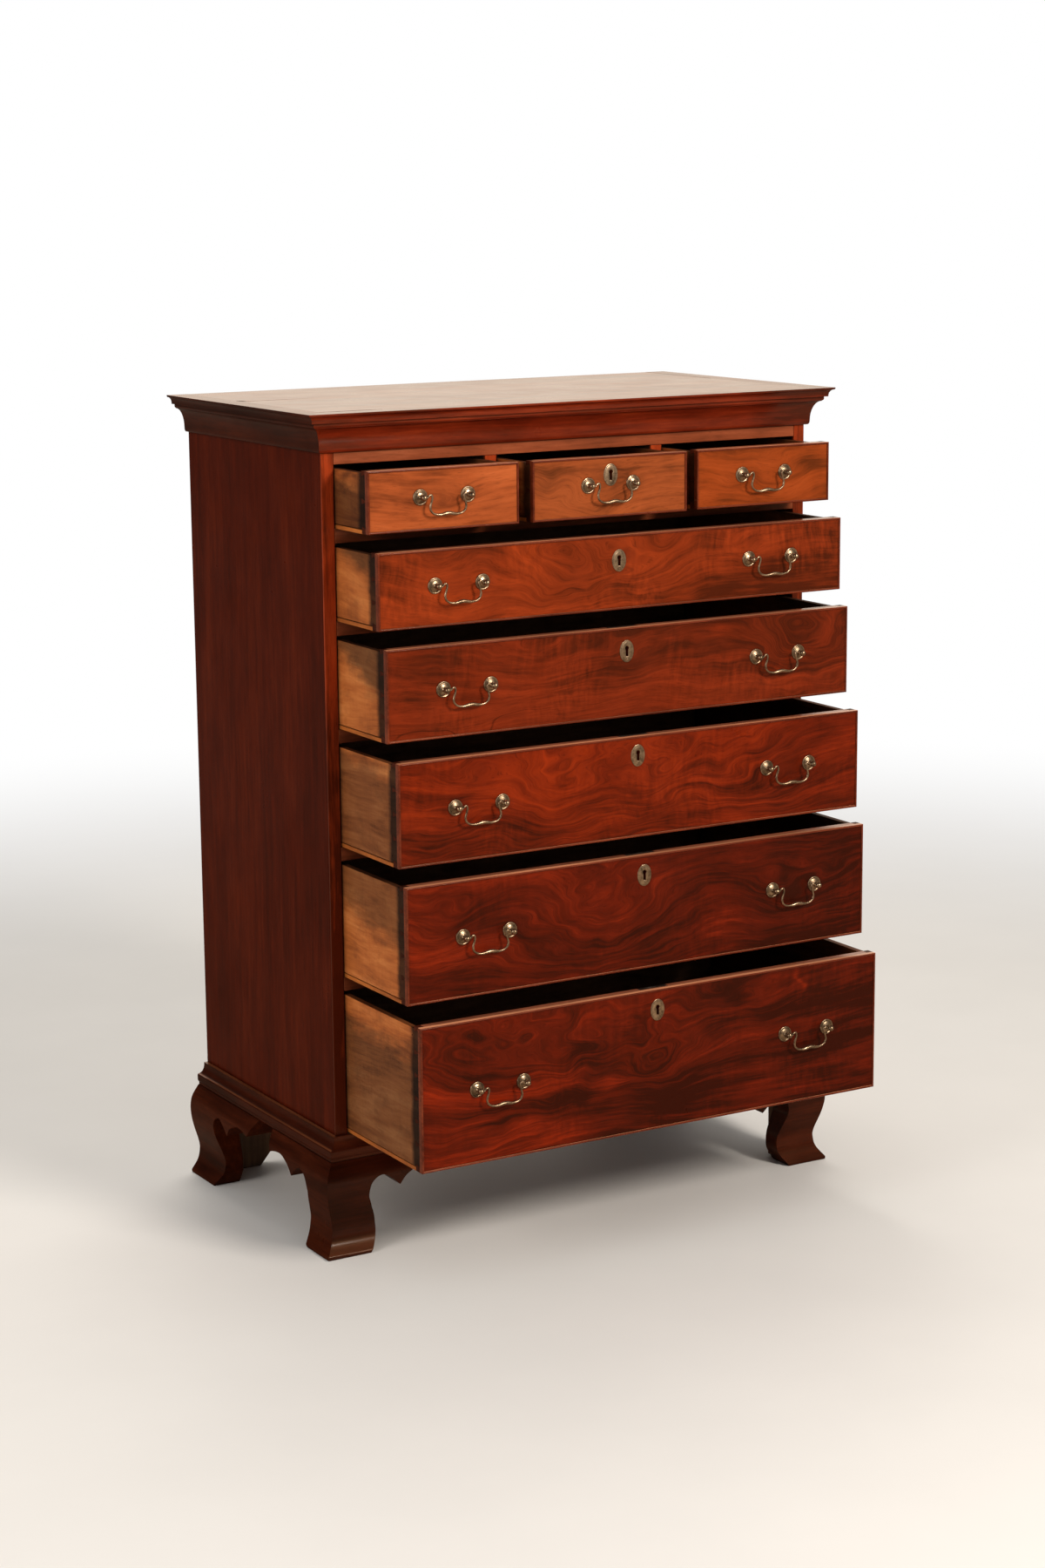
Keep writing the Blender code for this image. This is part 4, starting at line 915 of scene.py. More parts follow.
def makeShelves():
    # dust boards: a rail and a rougher panel behind it, both let into the sides
    rear, tenon, sink = caseFront + case["railDepth"], caseFront + case["tenonSetBack"], case["panelSink"]
    for i in range(1, 6):
        low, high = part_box(f"dust_board_{i}")
        makeRail(f"rail_{i}", f"dust_board_{i}", rear, more=[
            ((-near, rear + gap, low.z + sink), (near, high.y, high.z - sink)),
            ((low.x, tenon, low.z), (-near, high.y, high.z)),
            ((near, tenon, low.z), (high.x, high.y, high.z))])
    low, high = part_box("bottom_board")
    inner, split, tenon = near - gap, low.y + case["bottomRailDepth"], low.y + case["tenonSetBack"]
    boardPiece("bottom_planks", [((-inner, low.y, bottomLevel), (inner, split, high.z)),
                                 ((-inner, split + gap, bottomLevel), (inner, high.y, high.z)),
                                 ((low.x, tenon, bottomLevel + gap), (-inner, high.y, high.z)),
                                 ((inner, tenon, bottomLevel + gap), (high.x, high.y, high.z))],
               "case", dustWood, "bottom_board")
    rear = low.y + case["baseRailDepth"]
    rail = ((-inner, low.y + gap, low.z), (inner, rear, bottomLevel - gap))
    boardPiece("base_rail", [rail], "case", footWood, "bottom_board")


def makeTopRail():
    low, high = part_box("top_rail")
    rear = caseFront + case["topRailDepth"]
    makeRail("top_rail", "top_rail", rear, middleOf("small_drawer_middle_front"))
    floor, roof = (low.z + rise for rise in case["upperPanel"])
    boardPiece("upper_panel", [((-near, rear + gap, floor), (near, high.y, roof))], "case", dustWood,
               "top_rail")
    for node in ("divider_left", "divider_right"):
        low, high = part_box(node)
        boardPiece(node + "_facing", [(low, (high.x, faced, high.z))], "case", stileWood, node,
                   case["dividerEdge"])
        boardPiece(node + "_board", [((low.x, faced + gap / 2, low.z), high)], "case", dustWood, node)


def nailStud(name, radius, rise, shank=0.0006):
    # flat-headed nail, its head standing towards -Y
    head = ((0, rise), (radius * 0.55, rise * 0.9), (radius * 0.92, rise * 0.45), (radius, 0.0),
            (radius * 0.4, -shank), (0, -shank))
    return toObject(name, addLathe(bmesh.new(), head, (0, -1, 0), steps=8), 40)


def makeBack():
    low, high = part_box("back_board")
    count, joint = case["backPlanks"], case["backJoint"]
    tall = (high.z - low.z - (count - 1) * joint) / count
    back = grow("back_planks", plankTree,
                {"Corner": tuple(low), "Size": (high.x - low.x, case["backThickness"], tall),
                 "Step": (0.0, 0.0, tall + joint), "Count": count, "Seed": 4,
                 "Unevenness": (0.0, case["backUneven"], 0.0), "Finish": backWood})
    finishPiece(back, "case", backWood, "back_board", case["backEdge"])
    nail = nailStud("backNail", *case["backNail"])
    across, behind = high.x - case["nailInset"], high.y - case["nailSink"]
    spots = [(side * across, behind, low.z + (tall + joint) * i + tall * part)
             for i in range(count) for side in (-1, 1) for part in case["nailHeights"]]
    studPiece("back_nails", nail, spots, "case", nailIron, "back_board", 7, 0.12, 1.0, backwards)
    drop(nail)


makeSides()
makeTop()
makeShelves()
makeTopRail()
makeBack()
print("case made")

# Cornice and base moulding

mouldings = {
    "mitre": 0.00012,
    "steps": 9,
    "least": 0.00008,       # distance below which two points of a profile are one
    "edge": 0.0006, "edgeAngle": 38,
    # a run's start and end, as shares of overhang and height, and whether it leaves its start upright
    "cornice": {"overhang": 0.0398, "runs": (
        ((0.1, 0.0), (0.188, 0.09), False), ((0.19, 0.115), (0.57, 0.636), True),
        ((0.575, 0.65), (0.64, 0.705), False), ((0.64, 0.752), (0.774, 0.758), True),
        ((0.779, 0.788), (0.975, 0.945), True), ((1.0, 0.968), (1.0, 1.0), True))},
    "base": {"overhang": 0.0208, "runs": (
        ((0.875, 0.0), (0.875, 0.125), True), ((0.905, 0.15), (1.0, 0.275), False),
        ((1.0, 0.275), (1.0, 0.46), True), ((0.955, 0.5), (0.337, 0.9), False),
        ((0.337, 0.9), (0.337, 1.0), True))},
}


def mouldingProfile(plan, low, high):
    points = [(gap, low)]
    for start, end, upright in plan["runs"]:
        for k in range(mouldings["steps"] + 1):
            angle = math.pi / 2 * k / mouldings["steps"]
            early, late = math.sin(angle), 1 - math.cos(angle)
            across, along = (late, early) if upright else (early, late)
            spot = ((start[0] + (end[0] - start[0]) * across) * plan["overhang"],
                    low + (start[1] + (end[1] - start[1]) * along) * (high - low))
            if math.dist(spot, points[-1]) > mouldings["least"]:
                points.append(spot)
    return points + [(gap, high)]


def makeMoulding(name, node, plan, wood):
    low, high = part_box(node)
    profile, mitre = mouldingProfile(plan, low.z, high.z), mouldings["mitre"]
    front = addSweep(bmesh.new(), profile, (lambda o, z: (-caseHalf - o + mitre, caseFront - o, z),
                                            lambda o, z: (caseHalf + o - mitre, caseFront - o, z)))
    run = addSweep(bmesh.new(), profile, (lambda o, z: (-caseHalf - o, caseBack, z),
                                          lambda o, z: (-caseHalf - o, caseFront - o + mitre, z)))
    pieces = [(toObject(name + "_front", front), wood)]
    pieces += [(twin, runWood) for twin, hand in bothHands(toObject(name + "_run_left", run))]
    for item, material in pieces:
        finishPiece(item, "case", material, node, mouldings["edge"], angle=mouldings["edgeAngle"])


makeMoulding("cornice_moulding", "cornice", mouldings["cornice"], corniceWood)
makeMoulding("base_run", "base_moulding", mouldings["base"], baseWood)
print("mouldings run")

# Feet

feet = {
    "spread": 0.038, "inset": 0.014, "length": 0.207, "rearExtra": 0.052, "mitre": 0.00012, "overrun": 0.002,
    "toe": (0.0012, 0.0014),    # how much of the lower edge is rubbed off
    "ogee": ((1.0, 0.033), (0.671, 0.141), (0.558, 0.24), (0.574, 0.341), (0.855, 0.563), (0.968, 0.731),
             (0.882, 0.874), (0.513, 1.0)),
    "leg": ((0.2126, 0.0), (0.29, 0.156), (0.292, 0.329), (0.244, 0.503), (0.215, 0.623), (0.244, 0.754),
            (0.338, 0.814), (0.425, 0.76), (0.5024, 0.6737)),
    "lobe": ((0.5024, 0.6737), (0.57, 0.7725), (0.7, 0.8353), (0.8213, 0.8263), (0.9034, 0.7994)),
    "end": (0.942, 0.8743),
    "ogeeSteps": 6, "scrollSteps": 5,
    "edge": 0.0012, "roughEdge": 0.001, "edgeAngle": 40,
    "block": 0.027, "blockChamfer": 0.006, "blockLift": 0.004,
    "backBracketInset": 0.012, "backBracketDepth": 0.022,
    "backBracket": ((0.0143, 0.0), (0.088, 0.0), (0.19, 0.12), (0.19, 0.1664), (0.0143, 0.1664)),
}
footTop = sideLow.z - gap


def footProfile():
    spread, (rubbed, rise) = feet["spread"], feet["toe"]
    face = catmull([(spread * out, footTop * up) for out, up in feet["ogee"]], feet["ogeeSteps"])
    back = [(-feet["inset"], footTop), (-feet["inset"], 0.0)]
    return [(spread - rubbed, 0.0), (spread, rise)] + face + back


def scrollOutline():
    # what is sawn away under a bracket, as (distance from the corner, height)
    def scaled(points):
        return [(along * feet["length"], up * sideLow.z) for along, up in points]

    leg, lobe = (catmull(scaled(feet[name]), feet["scrollSteps"]) for name in ("leg", "lobe"))
    over = feet["overrun"]
    end = feet["length"] + over
    return ([(leg[0][0], -over)] + leg + lobe[1:] + scaled([feet["end"]])
            + [(end, sideLow.z + over), (end, -over)])


def makeBracket(name, stations, scroll, axis):
    start = {"Y": caseFront, "X": -caseHalf}[axis]
    cutter = addPrism(bmesh.new(), scroll, start - feet["spread"] - feet["overrun"],
                      start + feet["inset"] + feet["overrun"], axis)
    return carve(toObject(name, addSweep(bmesh.new(), footProfile(), stations)), cutter)


def makeBlock(name, place, way):
    # glue block with its free corner cut off; way is the side of place that it is on
    left, size, chamfer = -caseHalf + feet["inset"] + gap, feet["block"], feet["blockChamfer"]
    outline = [(left, place), (left + size, place), (left + size, place + way * (size - chamfer)),
               (left + size - chamfer, place + way * size), (left, place + way * size)]
    return toObject(name, addPrism(bmesh.new(), outline, feet["blockLift"], footTop - gap, "Z"))


def makeFeet():
    length, mitre, scroll = feet["length"], feet["mitre"], scrollOutline()
    corner = caseBack - feet["rearExtra"]
    far = caseBack - feet["backBracketInset"]
    front = makeBracket("front_foot_face_left", (lambda o, z: (-caseHalf + length, caseFront - o, z),
                                                 lambda o, z: (-caseHalf - o + mitre, caseFront - o, z)),
                        [(-caseHalf + u, z) for u, z in scroll], "Y")
    side = makeBracket("front_foot_side_left", (lambda o, z: (-caseHalf - o, caseFront - o + mitre, z),
                                                lambda o, z: (-caseHalf - o, caseFront + length, z)),
                       [(caseFront + u, z) for u, z in scroll], "X")
    rear = makeBracket("rear_foot_side_left", (lambda o, z: (-caseHalf - o, corner - length, z),
                                               lambda o, z: (-caseHalf - o, caseBack, z)),
                       [(corner - u, z) for u, z in scroll], "X")
    behind = toObject("rear_foot_back_left", addPrism(bmesh.new(), moved(feet["backBracket"], -caseHalf, 0.0),
                                                      far - feet["backBracketDepth"], far, "Y"))
    frontBlock = makeBlock("front_foot_block_left", caseFront + feet["inset"] + gap, 1)
    rearBlock = makeBlock("rear_foot_block_left", far - feet["backBracketDepth"] - gap, -1)
    for item, place, wood in ((front, "front", footWood), (side, "front", footSideWood),
                              (rear, "rear", footSideWood), (behind, "rear", blockWood),
                              (frontBlock, "front", blockWood), (rearBlock, "rear", blockWood)):
        edge = feet["roughEdge" if wood == blockWood else "edge"]
        for twin, hand in bothHands(item):
            finishPiece(twin, "case", wood, f"foot_{place}_{hand}", edge, angle=feet["edgeAngle"])


makeFeet()
print("feet made")

# Drawers

drawers = {
    "frontDepth": 0.021, "nutDepth": 0.003, "lap": 0.008, "bead": 0.0035, "beadProud": 0.002, "beadSteps": 8,
    "beadMitre": 0.00006,
    "sideThickness": 0.011, "runnerHeight": 0.008, "runnerLift": 0.001,
    "bottomRaise": 0.009, "bottomThickness": 0.008, "bottomJoint": 0.0004, "bottomClearance": 0.0005,
    "backThickness": 0.011, "backDrop": 0.003, "behindFront": 0.00015,
    "tailPitch": 0.038, "pinTip": 0.0016, "pinBase": 0.0045, "pinFit": 0.00012, "pinProud": 0.0001,
    "pinEdge": 0.0002,
    "frontEdge": 0.0005, "sideEdge": 0.0007, "runnerEdge": 0.0012, "backEdge": 0.001, "bottomEdge": 0.0005,
    "pullRaise": 0.004, "postReach": 0.014, "postSpacing": 0.089,
    "keyholeLevel": 0.016,                      # over the lock's foot
    "keyhole": (0.0037, 0.0023, 0.0178),        # radius, half the slot's width, and height
    "keyholePast": 0.002,                       # how far it goes on into the lock
    "darkEnd": 0.006,                           # how far the dark front end of a side reaches
    "nails": ((0.004, 0.011), (0.006, -0.012), (-0.006, 0.012), (-0.006, -0.016)),  # from a side's corners
    # painted highlight on the top edges of the fronts
    "waxed": (0.3, 0.088, 0.042),
    "sideColours": ((0.18, 0.042, 0.008), (0.42, 0.112, 0.021), (0.62, 0.21, 0.052)),
}
# painted shade on the long fronts: the tall, wide spots near the right-hand end darken it as the light falls
# off towards that side, and the colours grow darker from the top drawer down, partly the wood's own and
# partly painted shade
frontLooks = {  # a spot is its place and size in shares of the front, its rise and its tone
    "small_drawer_left": {
        "colours": ((0.15, 0.03, 0.008), (0.36, 0.074, 0.018), (0.47, 0.106, 0.028)),
        "shift": (0.35, 0.2, 0.1), "swirl": 0.05, "bands": 0.12, "stain": 0.14,
        "spots": ((0.5, 0.62, 0.2, 0.2, 0.02, -0.07), (0.85, 0.3, 0.15, 0.3, 0.0, -0.03))},
    "small_drawer_middle": {
        "colours": ((0.085, 0.0195, 0.0055), (0.28, 0.059, 0.0145), (0.4, 0.088, 0.022)),
        "shift": (1.35, 0.4, 0.3), "swirl": 0.034, "bands": 0.16, "stain": 0.2,
        "spots": ((0.1, 0.55, 0.1, 0.35, 0.015, -0.08), (0.45, 0.3, 0.16, 0.4, 0.04, 0.06),
                  (0.95, 0.6, 0.08, 0.5, 0.0, -0.12))},
    "small_drawer_right": {
        "colours": ((0.11, 0.021, 0.0042), (0.265, 0.043, 0.007), (0.36, 0.061, 0.011)),
        "shift": (2.7, 0.9, 0.4), "swirl": 0.05, "bands": 0.14, "stain": 0.16,
        "spots": ((0.25, 0.75, 0.25, 0.2, 0.02, -0.06), (0.6, 0.35, 0.2, 0.45, 0.03, 0.16),
                  (0.93, 0.5, 0.12, 0.8, 0.0, -0.12))},
    "long_drawer_1": {
        "colours": ((0.065, 0.0094, 0.0024), (0.192, 0.0225, 0.0043), (0.322, 0.0393, 0.0067)),
        "shift": (-0.15, 0.1, -1.15), "swirl": 0.06, "bands": 0.2, "ripple": 0.9, "stain": 0.3,
        "spots": ((0.14, 0.5, 0.12, 0.6, 0.03, 0.16), (0.38, 0.62, 0.1, 0.45, 0.1, -0.18),
                  (0.47, 0.45, 0.07, 0.3, 0.05, 0.05), (0.58, 0.5, 0.09, 0.6, 0.05, 0.22),
                  (0.77, 0.7, 0.09, 0.3, 0.02, 0.14), (0.92, 0.4, 0.34, 1.4, 0.0, -0.28))},
    "long_drawer_2": {
        "colours": ((0.058, 0.0078, 0.0022), (0.152, 0.0159, 0.0034), (0.254, 0.0268, 0.0053)),
        "shift": (-0.3, 0.3, -1.0), "swirl": 0.045, "bands": 0.22, "ripple": 0.7, "stain": 0.4, "lines": 0.85,
        "spots": ((0.08, 0.3, 0.12, 0.4, 0.02, -0.1), (0.3, 0.6, 0.13, 0.3, 0.03, -0.05),
                  (0.5, 0.7, 0.1, 0.3, 0.03, -0.12), (0.68, 0.35, 0.1, 0.35, 0.02, 0.06),
                  (0.92, 0.66, 0.1, 0.42, 0.11, -0.02), (0.8, 0.4, 0.45, 1.4, 0.0, -0.16),
                  (0.14, 0.085, 0.17, 0.009, 0.0, -0.4))},
    "long_drawer_3": {
        "colours": ((0.036, 0.004, 0.0013), (0.133, 0.0103, 0.0018), (0.265, 0.0219, 0.0028)),
        "shift": (-0.05, 0.5, -0.7), "swirl": 0.048, "bands": 0.24, "ripple": 0.5, "stain": 0.42,
        "lines": 0.85,
        "spots": ((0.12, 0.75, 0.12, 0.25, 0.03, 0.08), (0.08, 0.3, 0.08, 0.25, 0.03, -0.16),
                  (0.35, 0.6, 0.11, 0.4, 0.09, 0.08), (0.3, 0.12, 0.14, 0.16, 0.02, -0.2),
                  (0.5, 0.42, 0.07, 0.25, 0.05, -0.18), (0.57, 0.68, 0.06, 0.3, 0.06, 0.08),
                  (0.8, 0.3, 0.12, 0.3, 0.03, -0.16), (0.7, 0.55, 0.09, 0.45, 0.05, -0.12),
                  (0.9, 0.5, 0.16, 1.0, 0.0, 0.14), (0.98, 0.4, 0.22, 1.4, 0.0, -0.1))},
    "long_drawer_4": {
        "colours": ((0.03, 0.0034, 0.0013), (0.096, 0.0067, 0.0016), (0.229, 0.0161, 0.0026)),
        "shift": (0.1, 0.7, -0.6), "swirl": 0.045, "bands": 0.24, "ripple": 0.36, "stain": 0.38,
        "lines": 0.85,
        "spots": ((0.06, 0.65, 0.09, 0.35, 0.04, 0.12), (0.4, 0.55, 0.1, 0.35, 0.08, 0.1),
                  (0.3, 0.22, 0.1, 0.22, 0.05, -0.22), (0.52, 0.35, 0.08, 0.5, 0.04, -0.14),
                  (0.86, 0.45, 0.14, 0.35, 0.05, -0.1), (0.9, 0.3, 0.4, 1.4, 0.0, -0.24))},
    "long_drawer_5": {
        "colours": ((0.031, 0.0034, 0.0012), (0.104, 0.0071, 0.0015), (0.245, 0.0158, 0.0021)),
        "shift": (-0.12, 0.9, -0.36), "swirl": 0.042, "bands": 0.2, "ripple": 0.36, "stain": 0.42,
        "lines": 0.85,
        "spots": ((0.1, 0.8, 0.1, 0.16, 0.04, -0.16), (0.22, 0.62, 0.16, 0.3, 0.1, -0.06),
                  (0.28, 0.48, 0.05, 0.2, 0.03, 0.06), (0.37, 0.62, 0.07, 0.15, 0.04, -0.14),
                  (0.36, 0.42, 0.03, 0.1, 0.02, -0.16), (0.41, 0.42, 0.03, 0.1, 0.02, 0.16),
                  (0.5, 0.52, 0.06, 0.15, 0.07, -0.08), (0.5, 0.52, 0.11, 0.3, 0.05, 0.0),
                  (0.82, 0.86, 0.005, 0.1, 0.0, 0.35), (0.06, 0.4, 0.1, 0.6, 0.02, 0.1),
                  (0.7, 0.8, 0.12, 0.16, 0.03, -0.1), (0.4, 0.26, 0.2, 0.34, 0.0, -0.15),
                  (0.3, 0.45, 0.06, 0.5, 0.0, -0.09), (0.58, 0.42, 0.07, 0.5, 0.0, -0.11),
                  (0.78, 0.3, 0.34, 1.0, 0.03, -0.2), (0.96, 0.5, 0.14, 0.8, 0.0, -0.14))},
}
sideLooks = {  # level, slope and start of the line on a side's face, the side of it that lies in the painted shadow, and how
    "small_drawer_left": {"line": (1.332, 0.0, -0.2, -1), "paintedShadowTint": (0.28, 0.27, 0.24), "knots": 0.9,
                          "smears": 0.95},
    "small_drawer_middle": {"line": (1.27, 0.0, -0.2, -1), "paintedShadowTint": (0.34, 0.32, 0.3)},
    "small_drawer_right": {"line": (1.26, 0.0, -0.2, -1), "paintedShadowTint": (0.34, 0.32, 0.3)},
    "long_drawer_1": {"line": (1.158, 0.4, -0.26, 1), "paintedShadowTint": (0.38, 0.45, 0.56)},
    "long_drawer_2": {"line": (0.965, 0.48, -0.28, 1), "paintedShadowTint": (0.36, 0.43, 0.54)},
    "long_drawer_3": {"line": (0.868, 0.06, -0.3, -1), "paintedShadowTint": (0.5, 0.56, 0.7)},
    "long_drawer_4": {"line": (0.57, 0.16, -0.34, 1), "paintedShadowTint": (0.5, 0.56, 0.66)},
    "long_drawer_5": {"line": (0.408, 0.05, -0.36, -1), "paintedShadowTint": (0.44, 0.52, 0.68)},
}


def measure(name):
    # where a drawer's pieces go, from its CAD nodes
    low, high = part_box(name + "_front")
    boxLow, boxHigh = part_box(name + "_box")
    face = high.y - drawers["frontDepth"] - drawers["nutDepth"]
    under = boxLow.z + drawers["runnerHeight"] + gap
    tails = max(2, round((boxHigh.z - under) / drawers["tailPitch"]))
    return SimpleNamespace(
        name=name, front=name + "_front", box=name + "_box",
        middle=(low.x + high.x) / 2, half=(high.x - low.x) / 2, low=low.z, high=high.z,
        face=face, lap=face + drawers["lap"], deep=face + drawers["frontDepth"], rear=boxHigh.y,
        boxLow=boxLow.z, sideLow=under, sideHigh=boxHigh.z,
        levels=[under + (boxHigh.z - under) * k / tails for k in range(tails + 1)],  # between the dovetails
        grips={node: middleOf(node) for node in nodes if node.startswith(name + "_bail")},
        pivot=(low.z + high.z) / 2 + drawers["pullRaise"], lock=name + "_lock" in nodes)


def keyholeOutline(radius, slot, tall, steps=14):
    head = tall / 2 - radius
    low = -math.pi / 2 + math.asin(slot / radius)
    high = 3 * math.pi / 2 - math.asin(slot / radius)
    turns = [low + (high - low) * k / steps for k in range(steps + 1)]
    points = [(radius * math.cos(t), head + radius * math.sin(t)) for t in turns]
    return points + [(-slot, -tall / 2), (slot, -tall / 2)]


def makeFrontBoard(drawer, wood):
    middle, half, bead = drawer.middle, drawer.half, drawers["bead"]
    inner = half - drawers["sideThickness"] - gap
    board = toObject(drawer.name + "_board", boxes([
        ((middle - half + bead, drawer.face, drawer.low + bead),
         (middle + half - bead, drawer.lap, drawer.high - bead)),
        ((middle - inner, drawer.lap, drawer.low), (middle + inner, drawer.deep, drawer.high))]))
    if drawer.lock:
        low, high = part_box(drawer.name + "_lock")
        keyhole = moved(keyholeOutline(*drawers["keyhole"]), middle, low.z + drawers["keyholeLevel"])
        cutter = addPrism(bmesh.new(), keyhole, drawer.face - overrun, low.y + drawers["keyholePast"], "Y")
        addBox(cutter, [edge - gap for edge in low], (high.x + gap, drawer.deep + overrun, high.z + overrun))
        carve(board, cutter)
    finishPiece(board, drawer.name, wood, drawer.front, drawers["frontEdge"])


def makePins(drawer):
    # the front's ends between the dovetails, as the levels of their corners at the lap and behind
    tip, base = drawers["pinTip"], drawers["pinBase"]
    pins = [(level - tip, level - base, level + base, level + tip) for level in drawer.levels[1:-1]]
    pins += [(drawer.low, drawer.low, drawer.sideLow + base, drawer.sideLow + tip),
             (drawer.sideHigh - tip, drawer.sideHigh - base, drawer.high, drawer.high)]
    inward = drawer.half - drawers["sideThickness"] - gap - drawers["pinProud"]
    work = bmesh.new()
    for side in (-1, 1):
        span = sorted(drawer.middle + side * reach for reach in (drawer.half, inward))
        for levels in pins:
            addPrism(work, list(zip((drawer.lap, drawer.deep, drawer.deep, drawer.lap), levels)), *span, "X")
    finishPiece(toObject(drawer.name + "_pins", work), drawer.name, endWood, drawer.front,
                drawers["pinEdge"], 1)


def makeCockbead(drawer):
    # four mitred strips with a rounded nose
    radius, start, cut = drawers["bead"] / 2, drawer.face - drawers["beadProud"], drawers["beadMitre"]
    arc = [math.pi * k / drawers["beadSteps"] for k in range(drawers["beadSteps"] + 1)]
    nose = [(radius - radius * math.cos(t), start + radius - radius * math.sin(t)) for t in arc]
    section = [(0.0, drawer.lap)] + nose + [(2 * radius, drawer.lap)]
    left, right, low, high = drawer.middle - drawer.half, drawer.middle + drawer.half, drawer.low, drawer.high
    strips = ((lambda o, y: (left + o + cut, y, low + o), lambda o, y: (right - o - cut, y, low + o)),
              (lambda o, y: (left + o + cut, y, high - o), lambda o, y: (right - o - cut, y, high - o)),
              (lambda o, y: (left + o, y, low + o + cut), lambda o, y: (left + o, y, high - o - cut)),
              (lambda o, y: (right - o, y, low + o + cut), lambda o, y: (right - o, y, high - o - cut)))
    work = bmesh.new()
    for strip in strips:
        addSweep(work, section, strip)
    finishPiece(toObject(drawer.name + "_cockbead", work, 40), drawer.name, beadWood, drawer.front)


def makeSidePair(drawer):
    # both sides with their dovetails, and the runners under them
    name, middle, half = drawer.name, drawer.middle, drawer.half
    shift = (middle * 3 + drawer.low * 7, 0.0, drawer.low * 3)  # a pattern of its own for each drawer
    wood = softwood(name + "Side", "Y", drawers["sideColours"], shift=shift, middle=middle,
                    end=drawer.deep + drawers["darkEnd"], **sideLooks[name])
    lap, start = drawer.lap + gap, drawer.deep + drawers["behindFront"]
    tip, base = (drawers[part] + drawers["pinFit"] for part in ("pinTip", "pinBase"))
    outline = [(drawer.rear, drawer.sideLow), (drawer.rear, drawer.sideHigh), (start, drawer.sideHigh)]
    for under, over in reversed(list(zip(drawer.levels, drawer.levels[1:]))):
        outline += [(start, over - base), (lap, over - tip), (lap, under + tip), (start, under + base)]
    outline.append((start, drawer.sideLow))
    runnerTop = drawer.boxLow + drawers["runnerHeight"] - drawers["runnerLift"]
    for side, hand in ((-1, "left"), (1, "right")):
        inside, outside = sorted(middle + side * reach for reach in (half, half - drawers["sideThickness"]))
        board = toObject(f"{name}_side_{hand}", addPrism(bmesh.new(), outline, inside, outside, "X"))
        finishPiece(board, name, wood, drawer.box, drawers["sideEdge"])
        runner = ((inside, start, drawer.boxLow), (outside, drawer.rear, runnerTop))
        boardPiece(f"{name}_runner_{hand}", [runner], name, runnerWood, drawer.box, drawers["runnerEdge"])


def makeBackAndBottom(drawer):
    name, middle, joint = drawer.name, drawer.middle, drawers["bottomJoint"]
    inner = drawer.half - drawers["sideThickness"] - gap
    under, thick = drawer.boxLow + drawers["bottomRaise"], drawers["bottomThickness"]
    back = ((middle - inner, drawer.rear - drawers["backThickness"], under + thick + gap),
            (middle + inner, drawer.rear, drawer.sideHigh - drawers["backDrop"]))
    boardPiece(name + "_back", [back], name, insideWood, drawer.box, drawers["backEdge"])
    count = 3 if name.startswith("long") else 2
    start = drawer.deep + drawers["behindFront"] + drawers["bottomClearance"]
    deep = (drawer.rear - start - (count - 1) * joint) / count
    bottom = grow(name + "_bottom", plankTree,
                  {"Corner": (middle - inner, start, under), "Size": (2 * inner, deep, thick),
                   "Step": (0.0, deep + joint, 0.0), "Count": count, "Unevenness": (0.0, 0.0, -joint),
                   "Seed": round(drawer.low * 100), "Finish": insideWood})
    finishPiece(bottom, name, insideWood, drawer.box, drawers["bottomEdge"])


def nailSides(drawer, nail):
    spots, turns = [], []
    ends = (drawer.deep, drawer.deep, drawer.rear, drawer.rear)
    heights = (drawer.sideLow, drawer.sideHigh, drawer.sideLow, drawer.sideHigh)
    for side in (-1, 1):
        for end, height, (along, up) in zip(ends, heights, drawers["nails"]):
            spots.append((drawer.middle + side * (drawer.half - fittings["sink"]), end + along, height + up))
            turns.append((0.0, 0.0, side * math.pi / 2))
    studPiece(drawer.name + "_side_nails", nail, spots, drawer.name, nailIron, drawer.box,
              round(drawer.low * 90), 0.1, 1.0, turns)


# Handles, plates and locks

